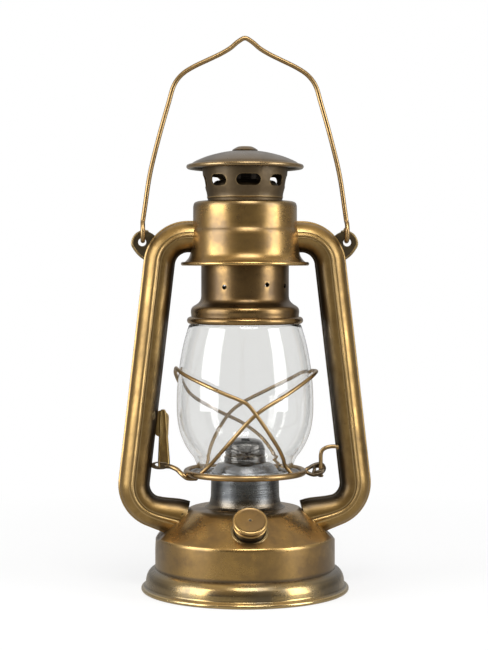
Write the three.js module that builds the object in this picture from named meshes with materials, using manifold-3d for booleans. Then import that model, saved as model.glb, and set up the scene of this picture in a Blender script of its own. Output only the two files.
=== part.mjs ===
// A brass oil lantern with a wire bail: tank, two side tubes, hood, lifting chimney, glass globe,
// flat-wick burner and screw filler cap. Millimetres, +Z up, the foot stands on Z = 0 and the front faces -Y.
import * as THREE from "three";
import { mergeVertices } from "three/addons/utils/BufferGeometryUtils.js";
import Module from "manifold-3d";

const wasm = await Module();
wasm.setup();

// Clearances shared by the whole lantern.
const seam = 0.3; // between two pieces that touch
const running = 0.5; // between a moving piece and its guide
const overrun = 2; // how far a cutter reaches past what it cuts

// Round counts.
const ringSides = 24;
const smallSides = 20;
const beadSides = 6;
const wireSides = 5;

const foot = { spread: 7.9, height: 14.2, bead: 1.3, sheet: 1.1, waistShare: 0.22 };
const tank = {
  radius: 50.8,
  wallTop: 33.2,
  shoulder: 3,
  coneTopRadius: 31.8,
  coneRise: 15.4,
  sheet: 0.9,
  lift: 3,
};
const pan = { sheet: 0.9, flange: 3.2, raise: 2.5 };
const neck = { radius: 19.2, height: 17.2, sheet: 0.9, flare: 2.8, flareHeight: 2.6, waistShare: 0.4 };
const filler = {
  bore: 6.4,
  sheet: 0.9,
  height: 6.2,
  flange: 10.4,
  flangeThick: 0.9,
  reach: 5,
};
const gasket = { thick: 1.4, bore: 5 };
const fillerCap = { radius: 9.4, skirt: 5, sheet: 0.9, bead: 0.8, ventHalf: 0.5 };

const ring = {
  radius: 33.1,
  wire: 1.35,
  eyeWall: 1.3,
  eyeHeight: 2.6,
  arm: 4.2,
  armWidth: 2.2,
  armThick: 2.1,
};
const plate = { sheet: 0.8, holes: 12, holeRadius: 1.5 };
const globe = { radius: 38.5, height: 83.2, glass: 1.6 };
const guard = { wire: 0.95, standOff: 0.9, sideRise: 57.5, partShare: 0.33 };

const burnerDome = { rise: 7, topRadius: 13.6, sheet: 0.9, skirt: 5 };
const burnerCone = { radius: 11.5, height: 11.4, sheet: 0.8, slotWidth: 5, wallShare: 0.8 };
const wick = { width: 15, thick: 2.4, below: 26, above: 9.8 };
const wickTube = { sheet: 0.7, below: 12 };
const airPlate = { sheet: 0.8, drop: 5.4, holes: 8, holeRadius: 2 };
const wickShaft = { radius: 1, height: 7.2, front: 11 };
const starWheel = { radius: 3.5, thick: 1.2, teeth: 10, offset: 4, toothShare: 0.72 };
const wickKnob = { radius: 7.2, thick: 3.4, standOff: 7, hub: 2.6 };

const bell = {
  radius: 30.4,
  bead: 2.1,
  wallHeight: 6.8,
  shoulderHeight: 4.2,
  shoulderShare: 0.6,
  sleeveRadius: 24.7,
  sheet: 0.9,
  holeRadius: 1.35,
  holeHeight: 8.4,
};
const sleeveHoleTurns = [-31, 26, 60, 149, 206, 240];
const sleeveHoleStepShares = [-0.45, 0.5, 0, -0.45, 0.5, 0];
const hood = {
  showing: 20,
  skirtRadius: 36,
  skirtHeight: 5,
  flareShare: 0.4,
  lowerRadius: 30.5,
  lowerHeight: 14.4,
  step: 1.3,
  height: 35.8,
  corner: 2.2,
  cornerShare: 0.3,
  bead: 0.9,
  sheet: 0.9,
  tubeHeight: 15.7,
};
const flue = { radius: 19.9, sheet: 0.8, overlap: 4 };
const vent = {
  footRadius: 21.1,
  topRadius: 24,
  height: 23.3,
  sheet: 0.8,
  beadRise: 3,
  slots: 8,
  slotLength: 13.7,
  slotHeight: 6.5,
  slotRise: 10.2,
};
const baffle = { radius: 9.6, sheet: 0.8, clear: 4 };
const cap = { radius: 33, bead: 1.3, rise: 9.2, sheet: 0.9, seatShare: 0.558 };
const capRivet = {
  radius: 7.3,
  edgeRadius: 5.8,
  head: 1.9,
  edgeRise: 1.4,
  shank: 2,
  tail: 1.2,
  tailRadius: 3.4,
};
const spring = { wire: 0.6, turns: 4, stepsPerTurn: 10 };

const tube = {
  radius: 8.6,
  sheet: 0.9,
  lip: 0.7,
  lipThick: 0.63,
  bend: 16.1,
  leg: 12.5,
  entryTurn: 22,
  run: 1.5,
};
const bendShares = [0, 0.2, 0.4, 0.6, 0.8, 1];
const lever = {
  lift: 9,
  swing: 60,
  wire: 1.15,
  length: 33,
  footWidth: 6.6,
  headWidth: 4.6,
  depth: 3,
  groove: 1.9,
  edge: 0.9,
  thumbWidth: 7.4,
  thumbHeight: 14,
  thumbThick: 0.9,
  barrel: 2.3,
  reach: 6,
  bend: 2,
};
const leverCatch = { height: 5, width: 4, thick: 1.1, over: 1.6 };
const guide = { wire: 1.2, rise: 14.2, bend: 3, tail: 3.4, head: 1.9 };

const ear = { radius: 6.6, hole: 2.5, thick: 1, out: 4.1, turn: 28, spread: 8.5, reach: 8 };
const bail = { wire: 1.2, height: 109.5, hookStand: 4.5, shankShare: 1.4 };
// The bail's arch from its foot to its peak: shares of half its width and of its height.
const bailArchShares = [
  [1, 0.06],
  [0.983, 0.12],
  [0.929, 0.304],
  [0.843, 0.489],
  [0.743, 0.674],
  [0.7, 0.75],
  [0.66, 0.787],
  [0.6, 0.82],
  [0.5, 0.853],
  [0.353, 0.89],
  [0.235, 0.92],
  [0.143, 0.949],
  [0.07, 0.981],
];
// The cap's dome from its rim inwards: shares of its radius and of its rise.
const capShares = [
  [0.96, 0],
  [0.9, 0.27],
  [0.66, 0.67],
  [0.34, 0.93],
  [0.07, 1],
];
// How high the guard wires run, by degrees round from their side: shares of the rise at the side.
// Each wire has been bent lower behind than in front.
const guardRiseShares = {
  rightFrontShares: [
    [0, 0.97], [15, 0.96], [34, 0.906], [60, 0.76], [75, 0.66],
    [90, 0.55], [105, 0.35], [120, 0.18], [146, 0],
  ],
  rightRearShares: [
    [27, 0.947], [44, 0.883], [68, 0.75], [88, 0.62], [100, 0.5], [118, 0.24], [135, 0],
  ],
  leftFrontShares: [
    [0, 1], [15, 0.995], [34, 0.95], [60, 0.863], [75, 0.78],
    [88, 0.7], [105, 0.49], [120, 0.26], [144, 0],
  ],
  leftRearShares: [
    [12, 0.9], [42, 0.67], [72, 0.5], [92, 0.39], [110, 0.24], [135, 0],
  ],
};
// The globe's outline from its foot to its mouth: shares of its height and of its widest radius.
const globeShares = [
  [0, 0.69],
  [0.05, 0.71],
  [0.1, 0.755],
  [0.14, 0.82],
  [0.19, 0.885],
  [0.28, 0.96],
  [0.38, 0.995],
  [0.5, 1],
  [0.62, 0.985],
  [0.75, 0.95],
  [0.88, 0.895],
  [1, 0.82],
];

// Heights of the stack, from the ground up.
const coneTop = tank.wallTop + tank.coneRise;
const neckFoot = coneTop + seam;
const neckTop = neckFoot + neck.height;
const plateTop = neckTop + plate.sheet / 2;
const ringHeight = plateTop - plate.sheet / 2 + ring.wire / 2;
const globeFoot = plateTop + seam;
const globeTop = globeFoot + globe.height;
const beadHeight = globeTop + seam + bell.bead;
const shoulderFoot = beadHeight + bell.wallHeight;
const sleeveFoot = shoulderFoot + bell.shoulderHeight;
const hoodFoot = sleeveFoot + hood.showing;
const hoodTop = hoodFoot + hood.height;
const sleeveTop = hoodFoot + hood.skirtHeight + seam;
const ventFoot = hoodTop - vent.beadRise;
const ventTop = ventFoot + vent.height + vent.beadRise;
const capRim = ventTop + seam + cap.sheet - cap.rise * cap.seatShare;
const capTop = capRim + cap.rise;
const domeTop = neckTop + burnerDome.rise;
const coneFoot = domeTop + seam;

const degrees = Math.PI / 180;

// Colours, roughness and metalness of each kind of surface.
const finishes = {
  brass: ["#a9803f", 0.36, 1],
  darkBrass: ["#6e5431", 0.44, 1],
  steel: ["#8e9092", 0.38, 1],
  darkSteel: ["#5b5a56", 0.4, 1],
  glass: ["#dfe6e4", 0.05, 0],
  cotton: ["#e6dfcc", 0.95, 0],
  rubber: ["#231f1b", 0.8, 0],
};

const lantern = new THREE.Group();

function place(name, finish, made) {
  const [color, roughness, metalness] = finishes[finish];
  const material = new THREE.MeshStandardMaterial({ color, roughness, metalness });
  const mesh = new THREE.Mesh(made.isBufferGeometry ? made : geometryOf(made), material);
  mesh.name = name;
  lantern.add(mesh);
}

function geometryOf(solid) {
  const { numProp, vertProperties, triVerts } = solid.getMesh();
  const corners = vertProperties.length / numProp;
  const position = new Float32Array(corners * 3);
  for (let i = 0; i < corners; i++) {
    position.set(vertProperties.subarray(i * numProp, i * numProp + 3), i * 3);
  }
  const geometry = new THREE.BufferGeometry();
  geometry.setAttribute("position", new THREE.BufferAttribute(position, 3));
  geometry.setIndex(new THREE.BufferAttribute(new Uint32Array(triVerts), 1));
  return geometry;
}

// A closed geometry as a solid, with its faces turned to point out.
function solidOf(source) {
  const bare = source.clone();
  bare.deleteAttribute("normal");
  bare.deleteAttribute("uv");
  const merged = mergeVertices(bare, 1e-4);
  const corners = [];
  for (let i = 0; i < merged.index.count; i += 3) {
    const [a, b, c] = [0, 1, 2].map((step) => merged.index.getX(i + step));
    if (a !== b && b !== c && c !== a) corners.push([a, b, c]);
  }
  const vertProperties = merged.attributes.position.array;
  const build = (order) => {
    const triVerts = new Uint32Array(corners.flatMap(order));
    return new wasm.Manifold(new wasm.Mesh({ numProp: 3, vertProperties, triVerts }));
  };
  const solid = build((corner) => corner);
  return solid.volume() > 0 ? solid : build(([a, b, c]) => [a, c, b]);
}

// A closed outline of [radius, height] pairs, turned about the Z axis.
function turned(outline, sides = ringSides) {
  const points = [...outline, outline[0]].map(([r, z]) => new THREE.Vector2(Math.max(r, 0), z));
  return solidOf(new THREE.LatheGeometry(points, sides).rotateX(Math.PI / 2));
}

// The outline moved sideways by a thickness, to the left of the way it runs.
function offsetOutline(outline, thick) {
  const points = outline.map(([r, z]) => new THREE.Vector2(r, z));
  const sideways = points.slice(1).map((point, i) => {
    const along = point.clone().sub(points[i]).normalize();
    return new THREE.Vector2(-along.y, along.x);
  });
  return points.map((point, i) => {
    const before = sideways[Math.max(i - 1, 0)];
    const after = sideways[Math.min(i, sideways.length - 1)];
    const mean = before.clone().add(after).normalize();
    const moved = point.clone().addScaledVector(mean, thick / mean.dot(before));
    return [moved.x, moved.y];
  });
}

// Sheet metal: an open outline with a thickness, turned about the Z axis.
function sheetMetal(outline, thick, sides = ringSides) {
  return turned([...outline, ...offsetOutline(outline, thick).reverse()], sides);
}

function arc(centreRadius, centreHeight, radius, from, to, steps) {
  return Array.from({ length: steps + 1 }, (_, i) => {
    const turn = (from + ((to - from) * i) / steps) * degrees;
    return [centreRadius + radius * Math.cos(turn), centreHeight + radius * Math.sin(turn)];
  });
}

function bead(centreRadius, centreHeight, radius, sides = ringSides) {
  const circle = arc(centreRadius, centreHeight, radius, 0, 360, beadSides);
  return turned(circle.slice(0, beadSides), sides);
}

function tubeRing(inner, outer, low, high, sides = ringSides) {
  return turned([[inner, low], [outer, low], [outer, high], [inner, high]], sides);
}

function rod(radius, low, high, sides = smallSides) {
  return turned([[0, low], [radius, low], [radius, high], [0, high]], sides);
}

function block(width, depth, height) {
  return solidOf(new THREE.BoxGeometry(width, depth, height));
}

// A flat outline of [x, z] pairs, given a depth centred on Y = 0.
function flatShape(outline, depth) {
  const shape = new THREE.Shape(outline.map(([x, z]) => new THREE.Vector2(x, z)));
  const geometry = new THREE.ExtrudeGeometry(shape, { depth, bevelEnabled: false });
  return solidOf(geometry.translate(0, 0, -depth / 2).rotateX(Math.PI / 2));
}

function moved(solid, x, y, z) {
  return solid.translate([x, y, z]);
}

function rotated(solid, x, y, z) {
  return solid.rotate([x, y, z]);
}

function around(count, make) {
  return Array.from({ length: count }, (_, i) => make((360 * i) / count));
}

function cutAll(solid, cutters) {
  return cutters.reduce((left, cutter) => left.subtract(cutter), solid);
}

// A smooth route that gives each stretch between two points the same number of steps,
// so that tight bends are as fine as long runs are coarse.
class Route extends THREE.CatmullRomCurve3 {
  getUtoTmapping(share) {
    return share;
  }
}

function wireAlong(points, radius, stepsEach = 2, sides = wireSides) {
  const route = new Route(points.map((p) => new THREE.Vector3(...p)), false, "centripetal");
  const circle = new THREE.Shape();
  for (let i = 0; i < sides; i++) {
    const turn = (2 * Math.PI * i) / sides;
    const [x, y] = [radius * Math.cos(turn), radius * Math.sin(turn)];
    if (i === 0) circle.moveTo(x, y);
    else circle.lineTo(x, y);
  }
  const steps = (points.length - 1) * stepsEach;
  return solidOf(new THREE.ExtrudeGeometry(circle, { steps, bevelEnabled: false, extrudePath: route }));
}

function mirrorX(solid) {
  return solid.mirror([1, 0, 0]);
}

// Foot ring: a flared skirt with a rolled rim, round the tank's lower edge.
const footInner = tank.radius + seam;
const footRadius = tank.radius + foot.spread;
const footSpread = footRadius - foot.bead - footInner - foot.sheet;
const footWaist = footSpread * foot.waistShare;
const footSkirt = sheetMetal(
  [
    [footRadius - foot.bead, 0],
    [footRadius - foot.bead, foot.bead * 2],
    [footRadius - foot.bead - footWaist, foot.height / 2],
    [footInner + foot.sheet + footWaist, foot.height - foot.sheet * 2],
    [footInner + foot.sheet, foot.height - foot.sheet],
    [footInner, foot.height],
  ],
  foot.sheet,
);
const footRim = bead(footRadius - foot.bead, foot.bead, foot.bead);
place("foot_ring", "brass", footSkirt.add(footRim).subtract(tubeRing(0, footInner, -overrun, foot.height)));

// Tank: one drawn shell, open below where the bottom pan closes it.
const coneSlope = Math.atan2(tank.coneRise, tank.radius - tank.shoulder / 2 - tank.coneTopRadius);
const shoulderTurn = 90 - coneSlope / degrees;
const shoulderRadius = tank.radius - tank.shoulder;
const shoulderArc = arc(shoulderRadius, tank.wallTop - tank.shoulder, tank.shoulder, 0, shoulderTurn, 3);
const tankOutline = [
  [tank.radius, tank.lift],
  ...shoulderArc,
  [tank.coneTopRadius, coneTop - tank.sheet / 2],
  [tank.coneTopRadius - tank.sheet * 2, coneTop],
  [neck.radius - neck.sheet, coneTop],
];
const [shoulderEndRadius, shoulderEndHeight] = shoulderArc[shoulderArc.length - 1];

// The filler stands square on the middle of the cone, at the front.
const fillerRadius = (shoulderEndRadius + tank.coneTopRadius) / 2;
const fillerHeight = (shoulderEndHeight + coneTop - tank.sheet / 2) / 2;
const coneTilt = Math.atan2(
  coneTop - tank.sheet / 2 - shoulderEndHeight,
  shoulderEndRadius - tank.coneTopRadius,
);
function onFiller(solid) {
  return moved(rotated(solid, coneTilt / degrees, 0, 0), 0, -fillerRadius, fillerHeight);
}
const fillerOuter = filler.bore + filler.sheet;
const fillerHole = onFiller(rod(fillerOuter + seam, -filler.reach * 2, filler.height));
place("tank_shell", "brass", sheetMetal(tankOutline, tank.sheet).subtract(fillerHole));

const panRadius = tank.radius - tank.sheet - seam;
const panOutline = [
  [0, tank.lift + pan.raise],
  [panRadius - pan.flange / 2, tank.lift + pan.raise],
  [panRadius, tank.lift + pan.sheet],
  [panRadius, tank.lift + pan.sheet + pan.flange],
];
place("tank_bottom", "brass", sheetMetal(panOutline, pan.sheet));

const fillerTube = tubeRing(filler.bore, fillerOuter, -filler.reach, filler.height, smallSides);
const flangeBottom = tank.sheet / 2 + seam;
const fillerFlange = tubeRing(
  filler.bore, filler.flange, flangeBottom, flangeBottom + filler.flangeThick, smallSides,
);
const coneCutter = turned([
  [0, 0],
  [tank.radius + seam, 0],
  [tank.radius + seam, shoulderEndHeight - tank.shoulder],
  [shoulderEndRadius + seam, shoulderEndHeight + seam],
  [tank.coneTopRadius + seam, coneTop + seam],
  [0, coneTop + seam],
]);
place("filler_neck", "brass", onFiller(fillerTube).add(onFiller(fillerFlange).subtract(coneCutter)));

const capBore = fillerCap.radius - fillerCap.bead - fillerCap.sheet;
const gasketFoot = filler.height + seam;
const gasketTop = gasketFoot + gasket.thick;
place(
  "filler_gasket",
  "rubber",
  onFiller(tubeRing(gasket.bore, capBore - seam, gasketFoot, gasketTop, smallSides)),
);
const capFloor = gasketTop + seam;
const capCrown = capFloor + fillerCap.sheet;
const capSkirtFoot = capCrown - fillerCap.skirt;
const capParts = [
  rod(fillerCap.radius - fillerCap.bead, capFloor, capCrown),
  tubeRing(capBore, capBore + fillerCap.sheet, capSkirtFoot, capCrown, smallSides),
  bead(capBore + fillerCap.sheet, capFloor, fillerCap.bead, smallSides),
  bead(capBore + fillerCap.sheet, capSkirtFoot + fillerCap.bead, fillerCap.bead, smallSides),
];
const capVent = moved(
  block(fillerCap.ventHalf * 2, fillerCap.ventHalf * 2, fillerCap.skirt), 0, 0, capCrown,
);
const capBoreCutter = rod(capBore, capSkirtFoot - overrun, capFloor);
place(
  "filler_cap",
  "brass",
  onFiller(capParts.reduce((a, b) => a.add(b)).subtract(capBoreCutter).subtract(capVent)),
);

// Neck: the steel collar that carries the burner, with a flared foot on the tank's top.
const shaftHeight = neckFoot + wickShaft.height;
const shaftX = wick.thick / 2 + seam + starWheel.radius;
const shaftHole = moved(
  rotated(rod(wickShaft.radius + seam, 0, neck.radius + neck.flare + overrun), -90, 0, 0),
  shaftX, 0, shaftHeight,
);
const neckSheet = sheetMetal(
  [
    [neck.radius + neck.flare, neckFoot + neck.sheet],
    [neck.radius + neck.flare * neck.waistShare, neckFoot + neck.sheet],
    [neck.radius, neckFoot + neck.flareHeight],
    [neck.radius, neckTop],
  ],
  neck.sheet,
  smallSides,
);
const belowNeck = rod(neck.radius + neck.flare + overrun, neckFoot - overrun, neckFoot);
place("burner_neck", "steel", neckSheet.subtract(shaftHole).subtract(belowNeck));

// Burner: a domed top on the collar, a slotted cone, a perforated air plate and the wick tube.
const domeFoot = neckTop + seam;
const skirtRadius = neck.radius - neck.sheet - running;
const dome = sheetMetal(
  [
    [skirtRadius + burnerDome.sheet, domeFoot],
    [neck.radius, domeFoot],
    [neck.radius - burnerDome.sheet, domeFoot + burnerDome.rise / 4],
    [burnerDome.topRadius + burnerDome.sheet, domeTop - burnerDome.sheet],
    [burnerDome.topRadius, domeTop],
    [burnerCone.radius - burnerCone.sheet * 3, domeTop],
  ],
  burnerDome.sheet,
  smallSides,
);
const domeSkirt = tubeRing(
  skirtRadius - burnerDome.sheet, skirtRadius, domeFoot - burnerDome.skirt,
  domeFoot + burnerDome.sheet * 2, smallSides,
);
place("burner_dome", "steel", dome.add(domeSkirt));

const cone = sheetMetal(
  [
    [burnerCone.radius + burnerCone.sheet, coneFoot],
    [burnerCone.radius, coneFoot + burnerCone.sheet * 2],
    [burnerCone.radius - burnerCone.sheet / 2, coneFoot + burnerCone.height * burnerCone.wallShare],
    [burnerCone.radius - burnerCone.sheet * 2, coneFoot + burnerCone.height],
    [0, coneFoot + burnerCone.height + burnerCone.sheet],
  ],
  burnerCone.sheet,
  smallSides,
);
const coneSlot = moved(
  block(burnerCone.slotWidth, wick.width + running * 2, burnerCone.height),
  0, 0, coneFoot + burnerCone.height,
);
const belowCone = rod(burnerCone.radius * 2, coneFoot - overrun, coneFoot);
place("burner_cone", "darkSteel", cone.subtract(coneSlot).subtract(belowCone));

const wickTop = domeTop + wick.above;
const wickFoot = neckTop - wick.below;
const wickTubeTop = wickTop - seam * 2;
const wickTubeFoot = shaftHeight - wickTube.below;
const tubeMiddle = (wickTubeTop + wickTubeFoot) / 2;
const tubeLength = wickTubeTop - wickTubeFoot;
const wickGap = running / 2;
const innerX = wick.thick + wickGap * 2;
const innerY = wick.width + running * 2;
const wheelWindow = moved(
  block(
    starWheel.radius * 2, (starWheel.offset + starWheel.thick + running) * 2,
    (starWheel.radius + running) * 2,
  ),
  wick.thick / 2 + starWheel.radius + running / 2, 0, shaftHeight,
);
const wickTubeSolid = moved(
  block(innerX + wickTube.sheet * 2, innerY + wickTube.sheet * 2, tubeLength), 0, 0, tubeMiddle,
);
const wickBore = moved(block(innerX, innerY, tubeLength + overrun), 0, 0, tubeMiddle);
place("wick_tube", "steel", wickTubeSolid.subtract(wickBore).subtract(wheelWindow));
place(
  "wick",
  "cotton",
  moved(block(wick.thick, wick.width, wickTop - wickFoot), 0, 0, (wickTop + wickFoot) / 2),
);

const airHeight = neckTop - airPlate.drop;
const airRadius = skirtRadius - burnerDome.sheet - seam;
const airHoleRing = (airRadius + innerY / 2) / 2;
const airHoles = around(airPlate.holes, (turn) =>
  rotated(moved(rod(airPlate.holeRadius, -overrun, overrun, 10), 0, airHoleRing, airHeight), 0, 0, turn),
);
const airSlot = moved(
  block(innerX + (wickTube.sheet + seam) * 2, innerY + (wickTube.sheet + seam) * 2, overrun * 2),
  0, 0, airHeight,
);
place(
  "air_plate",
  "steel",
  cutAll(rod(airRadius, airHeight, airHeight + airPlate.sheet), [...airHoles, airSlot]),
);

// Wick raiser: a shaft along Y with two star wheels against the wick and a knob at the back.
function onShaft(solid) {
  return moved(rotated(solid, -90, 0, 0), shaftX, 0, shaftHeight);
}
const knobFoot = neck.radius + wickKnob.standOff;
place("wick_shaft", "steel", onShaft(rod(wickShaft.radius, -wickShaft.front, knobFoot, 12)));
const starShape = new THREE.Shape();
for (let i = 0; i < starWheel.teeth * 2; i++) {
  const reach = i % 2 === 0 ? starWheel.radius : starWheel.radius * starWheel.toothShare;
  const turn = (Math.PI * i) / starWheel.teeth;
  const [x, y] = [reach * Math.cos(turn), reach * Math.sin(turn)];
  if (i === 0) starShape.moveTo(x, y);
  else starShape.lineTo(x, y);
}
const starBore = rod(wickShaft.radius + seam / 2, -overrun, starWheel.thick + overrun, 12);
const star = solidOf(
  new THREE.ExtrudeGeometry(starShape, { depth: starWheel.thick, bevelEnabled: false }),
).subtract(starBore);
place("star_wheel_front", "steel", onShaft(moved(star, 0, 0, -starWheel.offset - starWheel.thick)));
place("star_wheel_rear", "steel", onShaft(moved(star, 0, 0, starWheel.offset)));
const knobHole = rod(wickShaft.radius + seam / 2, knobFoot - wickKnob.hub * 2, knobFoot + seam, 12);
const knobParts = rod(wickKnob.radius, knobFoot, knobFoot + wickKnob.thick).add(
  rod(wickKnob.hub, knobFoot - wickKnob.hub, knobFoot + wickKnob.thick),
);
place("wick_knob", "brass", onShaft(knobParts.subtract(knobHole)));

// Globe seat: a wire ring with a guide eye on its right, a perforated plate, and two crossing guard wires.
const ringInner = ring.radius - ring.wire - seam;
const eyeOuter = guide.wire + running + ring.eyeWall;
const guideX = ring.radius + ring.wire + ring.arm + eyeOuter;
const armLength = guideX - ring.radius;
const eyeArm = moved(
  block(armLength, ring.armWidth, ring.armThick), ring.radius + armLength / 2, 0, ringHeight,
);
const eye = moved(
  rod(eyeOuter, -ring.eyeHeight / 2, ring.eyeHeight / 2, 12), guideX, 0, ringHeight,
);
const eyeBore = moved(rod(guide.wire + running, -overrun * 2, overrun * 2, 12), guideX, 0, ringHeight);
const ringHoop = bead(ring.radius, ringHeight, ring.wire);
place("globe_ring", "brass", ringHoop.add(eyeArm).add(eye).subtract(eyeBore));

const plateInner = neck.radius + running;
const airRing = (plateInner + ringInner) / 2;
const plateHoles = around(plate.holes, (turn) =>
  rotated(moved(rod(plate.holeRadius, -overrun, overrun, 8), airRing, 0, plateTop), 0, 0, turn),
);
place(
  "globe_plate",
  "steel",
  cutAll(tubeRing(plateInner, ringInner, plateTop - plate.sheet, plateTop), plateHoles),
);

const globeOuter = new THREE.CatmullRomCurve3(
  globeShares.map(
    ([heightShare, radiusShare]) =>
      new THREE.Vector3(globe.radius * radiusShare, globeFoot + globe.height * heightShare, 0),
  ),
);
const globeOutline = globeOuter.getPoints(10).map((point) => [point.x, point.y]);
place("globe", "glass", sheetMetal(globeOutline, globe.glass));

// The globe's outer radius at a height.
function globeRadiusAt(height) {
  const above = globeOutline.findIndex(([, z]) => z > height);
  if (above <= 0) return globeOutline[0][0];
  const [[lowRadius, low], [highRadius, high]] = [globeOutline[above - 1], globeOutline[above]];
  return lowRadius + ((highRadius - lowRadius) * (height - low)) / (high - low);
}
// A guard wire climbs from its front foot, crosses the front, rounds one side and comes down behind.
const guardFoot = plateTop + seam + guard.wire;
const guardFootRadius = ringInner - guard.wire;
function guardWire(side, frontShares, rearShares, extra) {
  const turns = [
    ...frontShares.map(([fromSide, share]) => [90 - fromSide, share]).reverse(),
    ...rearShares.map(([fromSide, share]) => [90 + fromSide, share]),
  ];
  const points = turns.map(([turn, riseShare]) => {
    const height = guardFoot + guard.sideRise * riseShare;
    const stand = guard.wire + guard.standOff + extra * Math.min(riseShare / guard.partShare, 1);
    const radius = riseShare === 0 ? guardFootRadius : globeRadiusAt(height) + stand;
    const out = Math.max(radius, guardFootRadius);
    return [side * out * Math.sin(turn * degrees), -out * Math.cos(turn * degrees), height];
  });
  return wireAlong(points, guard.wire);
}
const { rightFrontShares, rightRearShares, leftFrontShares, leftRearShares } = guardRiseShares;
place("guard_wire_right", "brass", guardWire(1, rightFrontShares, rightRearShares, 0));
place("guard_wire_left", "brass", guardWire(-1, leftFrontShares, leftRearShares, guard.wire * 2 + seam));

// Chimney: bell and sleeve in one drawn piece, flue, slotted vent cup, baffle and cap.
const bellOutline = [
  [bell.radius, beadHeight],
  [bell.radius, shoulderFoot],
  [bell.radius - bell.sheet, shoulderFoot + bell.shoulderHeight * bell.shoulderShare],
  [bell.sleeveRadius + bell.sheet, sleeveFoot - bell.sheet / 2],
  [bell.sleeveRadius, sleeveFoot + bell.sheet],
  [bell.sleeveRadius, sleeveTop],
  [flue.radius + seam, sleeveTop],
];
const bellHoles = sleeveHoleTurns.map((turn, i) => {
  const rise = sleeveFoot + bell.holeHeight + bell.holeRadius * sleeveHoleStepShares[i];
  const drill = rotated(rod(bell.holeRadius, 0, bell.sleeveRadius + overrun, 8), 90, 0, 0);
  return moved(rotated(drill, 0, 0, turn), 0, 0, rise);
});
const bellBead = bead(bell.radius + bell.sheet / 2, beadHeight, bell.bead);
place("globe_bell", "darkBrass", cutAll(sheetMetal(bellOutline, bell.sheet).add(bellBead), bellHoles));

const flueTop = ventFoot + flue.overlap;
place(
  "flue_tube",
  "darkBrass",
  tubeRing(flue.radius - flue.sheet, flue.radius, sleeveTop - bell.sheet * 2, flueTop, smallSides),
);

const ventOutline = [
  [vent.footRadius, ventFoot],
  [vent.footRadius, hoodTop + vent.beadRise],
  [vent.footRadius + vent.beadRise / 3, hoodTop + vent.slotRise / 2],
  [vent.topRadius - vent.sheet, hoodTop + vent.slotRise],
  [vent.topRadius, ventTop - vent.beadRise],
  [vent.topRadius, ventTop],
];
const slotTool = flatShape(
  [
    ...arc(vent.slotLength / 2 - vent.slotHeight / 2, 0, vent.slotHeight / 2, -90, 90, 4),
    ...arc(vent.slotHeight / 2 - vent.slotLength / 2, 0, vent.slotHeight / 2, 90, 270, 4),
  ],
  vent.topRadius,
);
const slotCutters = around(vent.slots, (turn) =>
  rotated(moved(slotTool, 0, -vent.topRadius, hoodTop + vent.slotRise), 0, 0, turn),
);
place("vent_cup", "darkBrass", cutAll(sheetMetal(ventOutline, vent.sheet), slotCutters));

// The cap's dome, its rolled rim and, under its middle, the baffle that one rivet holds.
const capOutline = capShares.map(([radiusShare, riseShare]) => [
  cap.radius * radiusShare, capRim + cap.rise * riseShare,
]);
place(
  "cap",
  "darkBrass",
  sheetMetal(capOutline, cap.sheet).add(bead(cap.radius - cap.bead, capRim, cap.bead)),
);
const baffleTop = capTop - cap.sheet - seam * 2;
place(
  "baffle",
  "darkSteel",
  sheetMetal(
    [
      [baffle.radius, hoodTop + baffle.clear],
      [baffle.radius, baffleTop - cap.sheet],
      [baffle.radius - baffle.sheet, baffleTop],
      [capRivet.shank + seam, baffleTop],
    ],
    baffle.sheet,
    smallSides,
  ),
);
const rivetBase = capTop + seam;
place(
  "cap_rivet",
  "brass",
  turned(
    [
      [0, baffleTop - baffle.sheet - seam - capRivet.tail],
      [capRivet.tailRadius, baffleTop - baffle.sheet - seam - capRivet.tail],
      [capRivet.tailRadius, baffleTop - baffle.sheet - seam],
      [capRivet.shank, baffleTop - baffle.sheet - seam],
      [capRivet.shank, rivetBase],
      [capRivet.radius, rivetBase],
      [capRivet.edgeRadius, rivetBase + capRivet.edgeRise],
      [0, rivetBase + capRivet.head],
    ],
    smallSides,
  ),
);

// Hood: upper and lower cylinders with a step between them, and a flared skirt.
const hoodWallFoot = hoodFoot + hood.skirtHeight;
const stepHeight = hoodWallFoot + hood.lowerHeight;
const upperRadius = hood.lowerRadius - hood.step;
const hoodOutline = [
  [hood.skirtRadius - hood.bead, hoodFoot + hood.bead],
  [(hood.skirtRadius + hood.lowerRadius) / 2, hoodFoot + hood.skirtHeight * hood.flareShare],
  [hood.lowerRadius, hoodWallFoot],
  [hood.lowerRadius, stepHeight],
  [upperRadius, stepHeight + hood.step / 2],
  [upperRadius, hoodTop - hood.corner],
  [upperRadius - hood.corner * hood.cornerShare, hoodTop - hood.corner * hood.cornerShare],
  [upperRadius - hood.corner, hoodTop],
  [vent.footRadius + running, hoodTop],
];
const tubeMouth = hoodFoot + hood.tubeHeight;
const mouthDrill = rotated(
  rod(tube.radius - tube.sheet, -hood.lowerRadius * 2, hood.lowerRadius * 2, 16), 0, 90, 0,
);
const hoodSheet = sheetMetal(hoodOutline, hood.sheet).add(
  bead(hood.skirtRadius - hood.bead, hoodFoot + hood.bead, hood.bead),
);
place("hood", "brass", hoodSheet.subtract(moved(mouthDrill, 0, 0, tubeMouth)));

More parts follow.
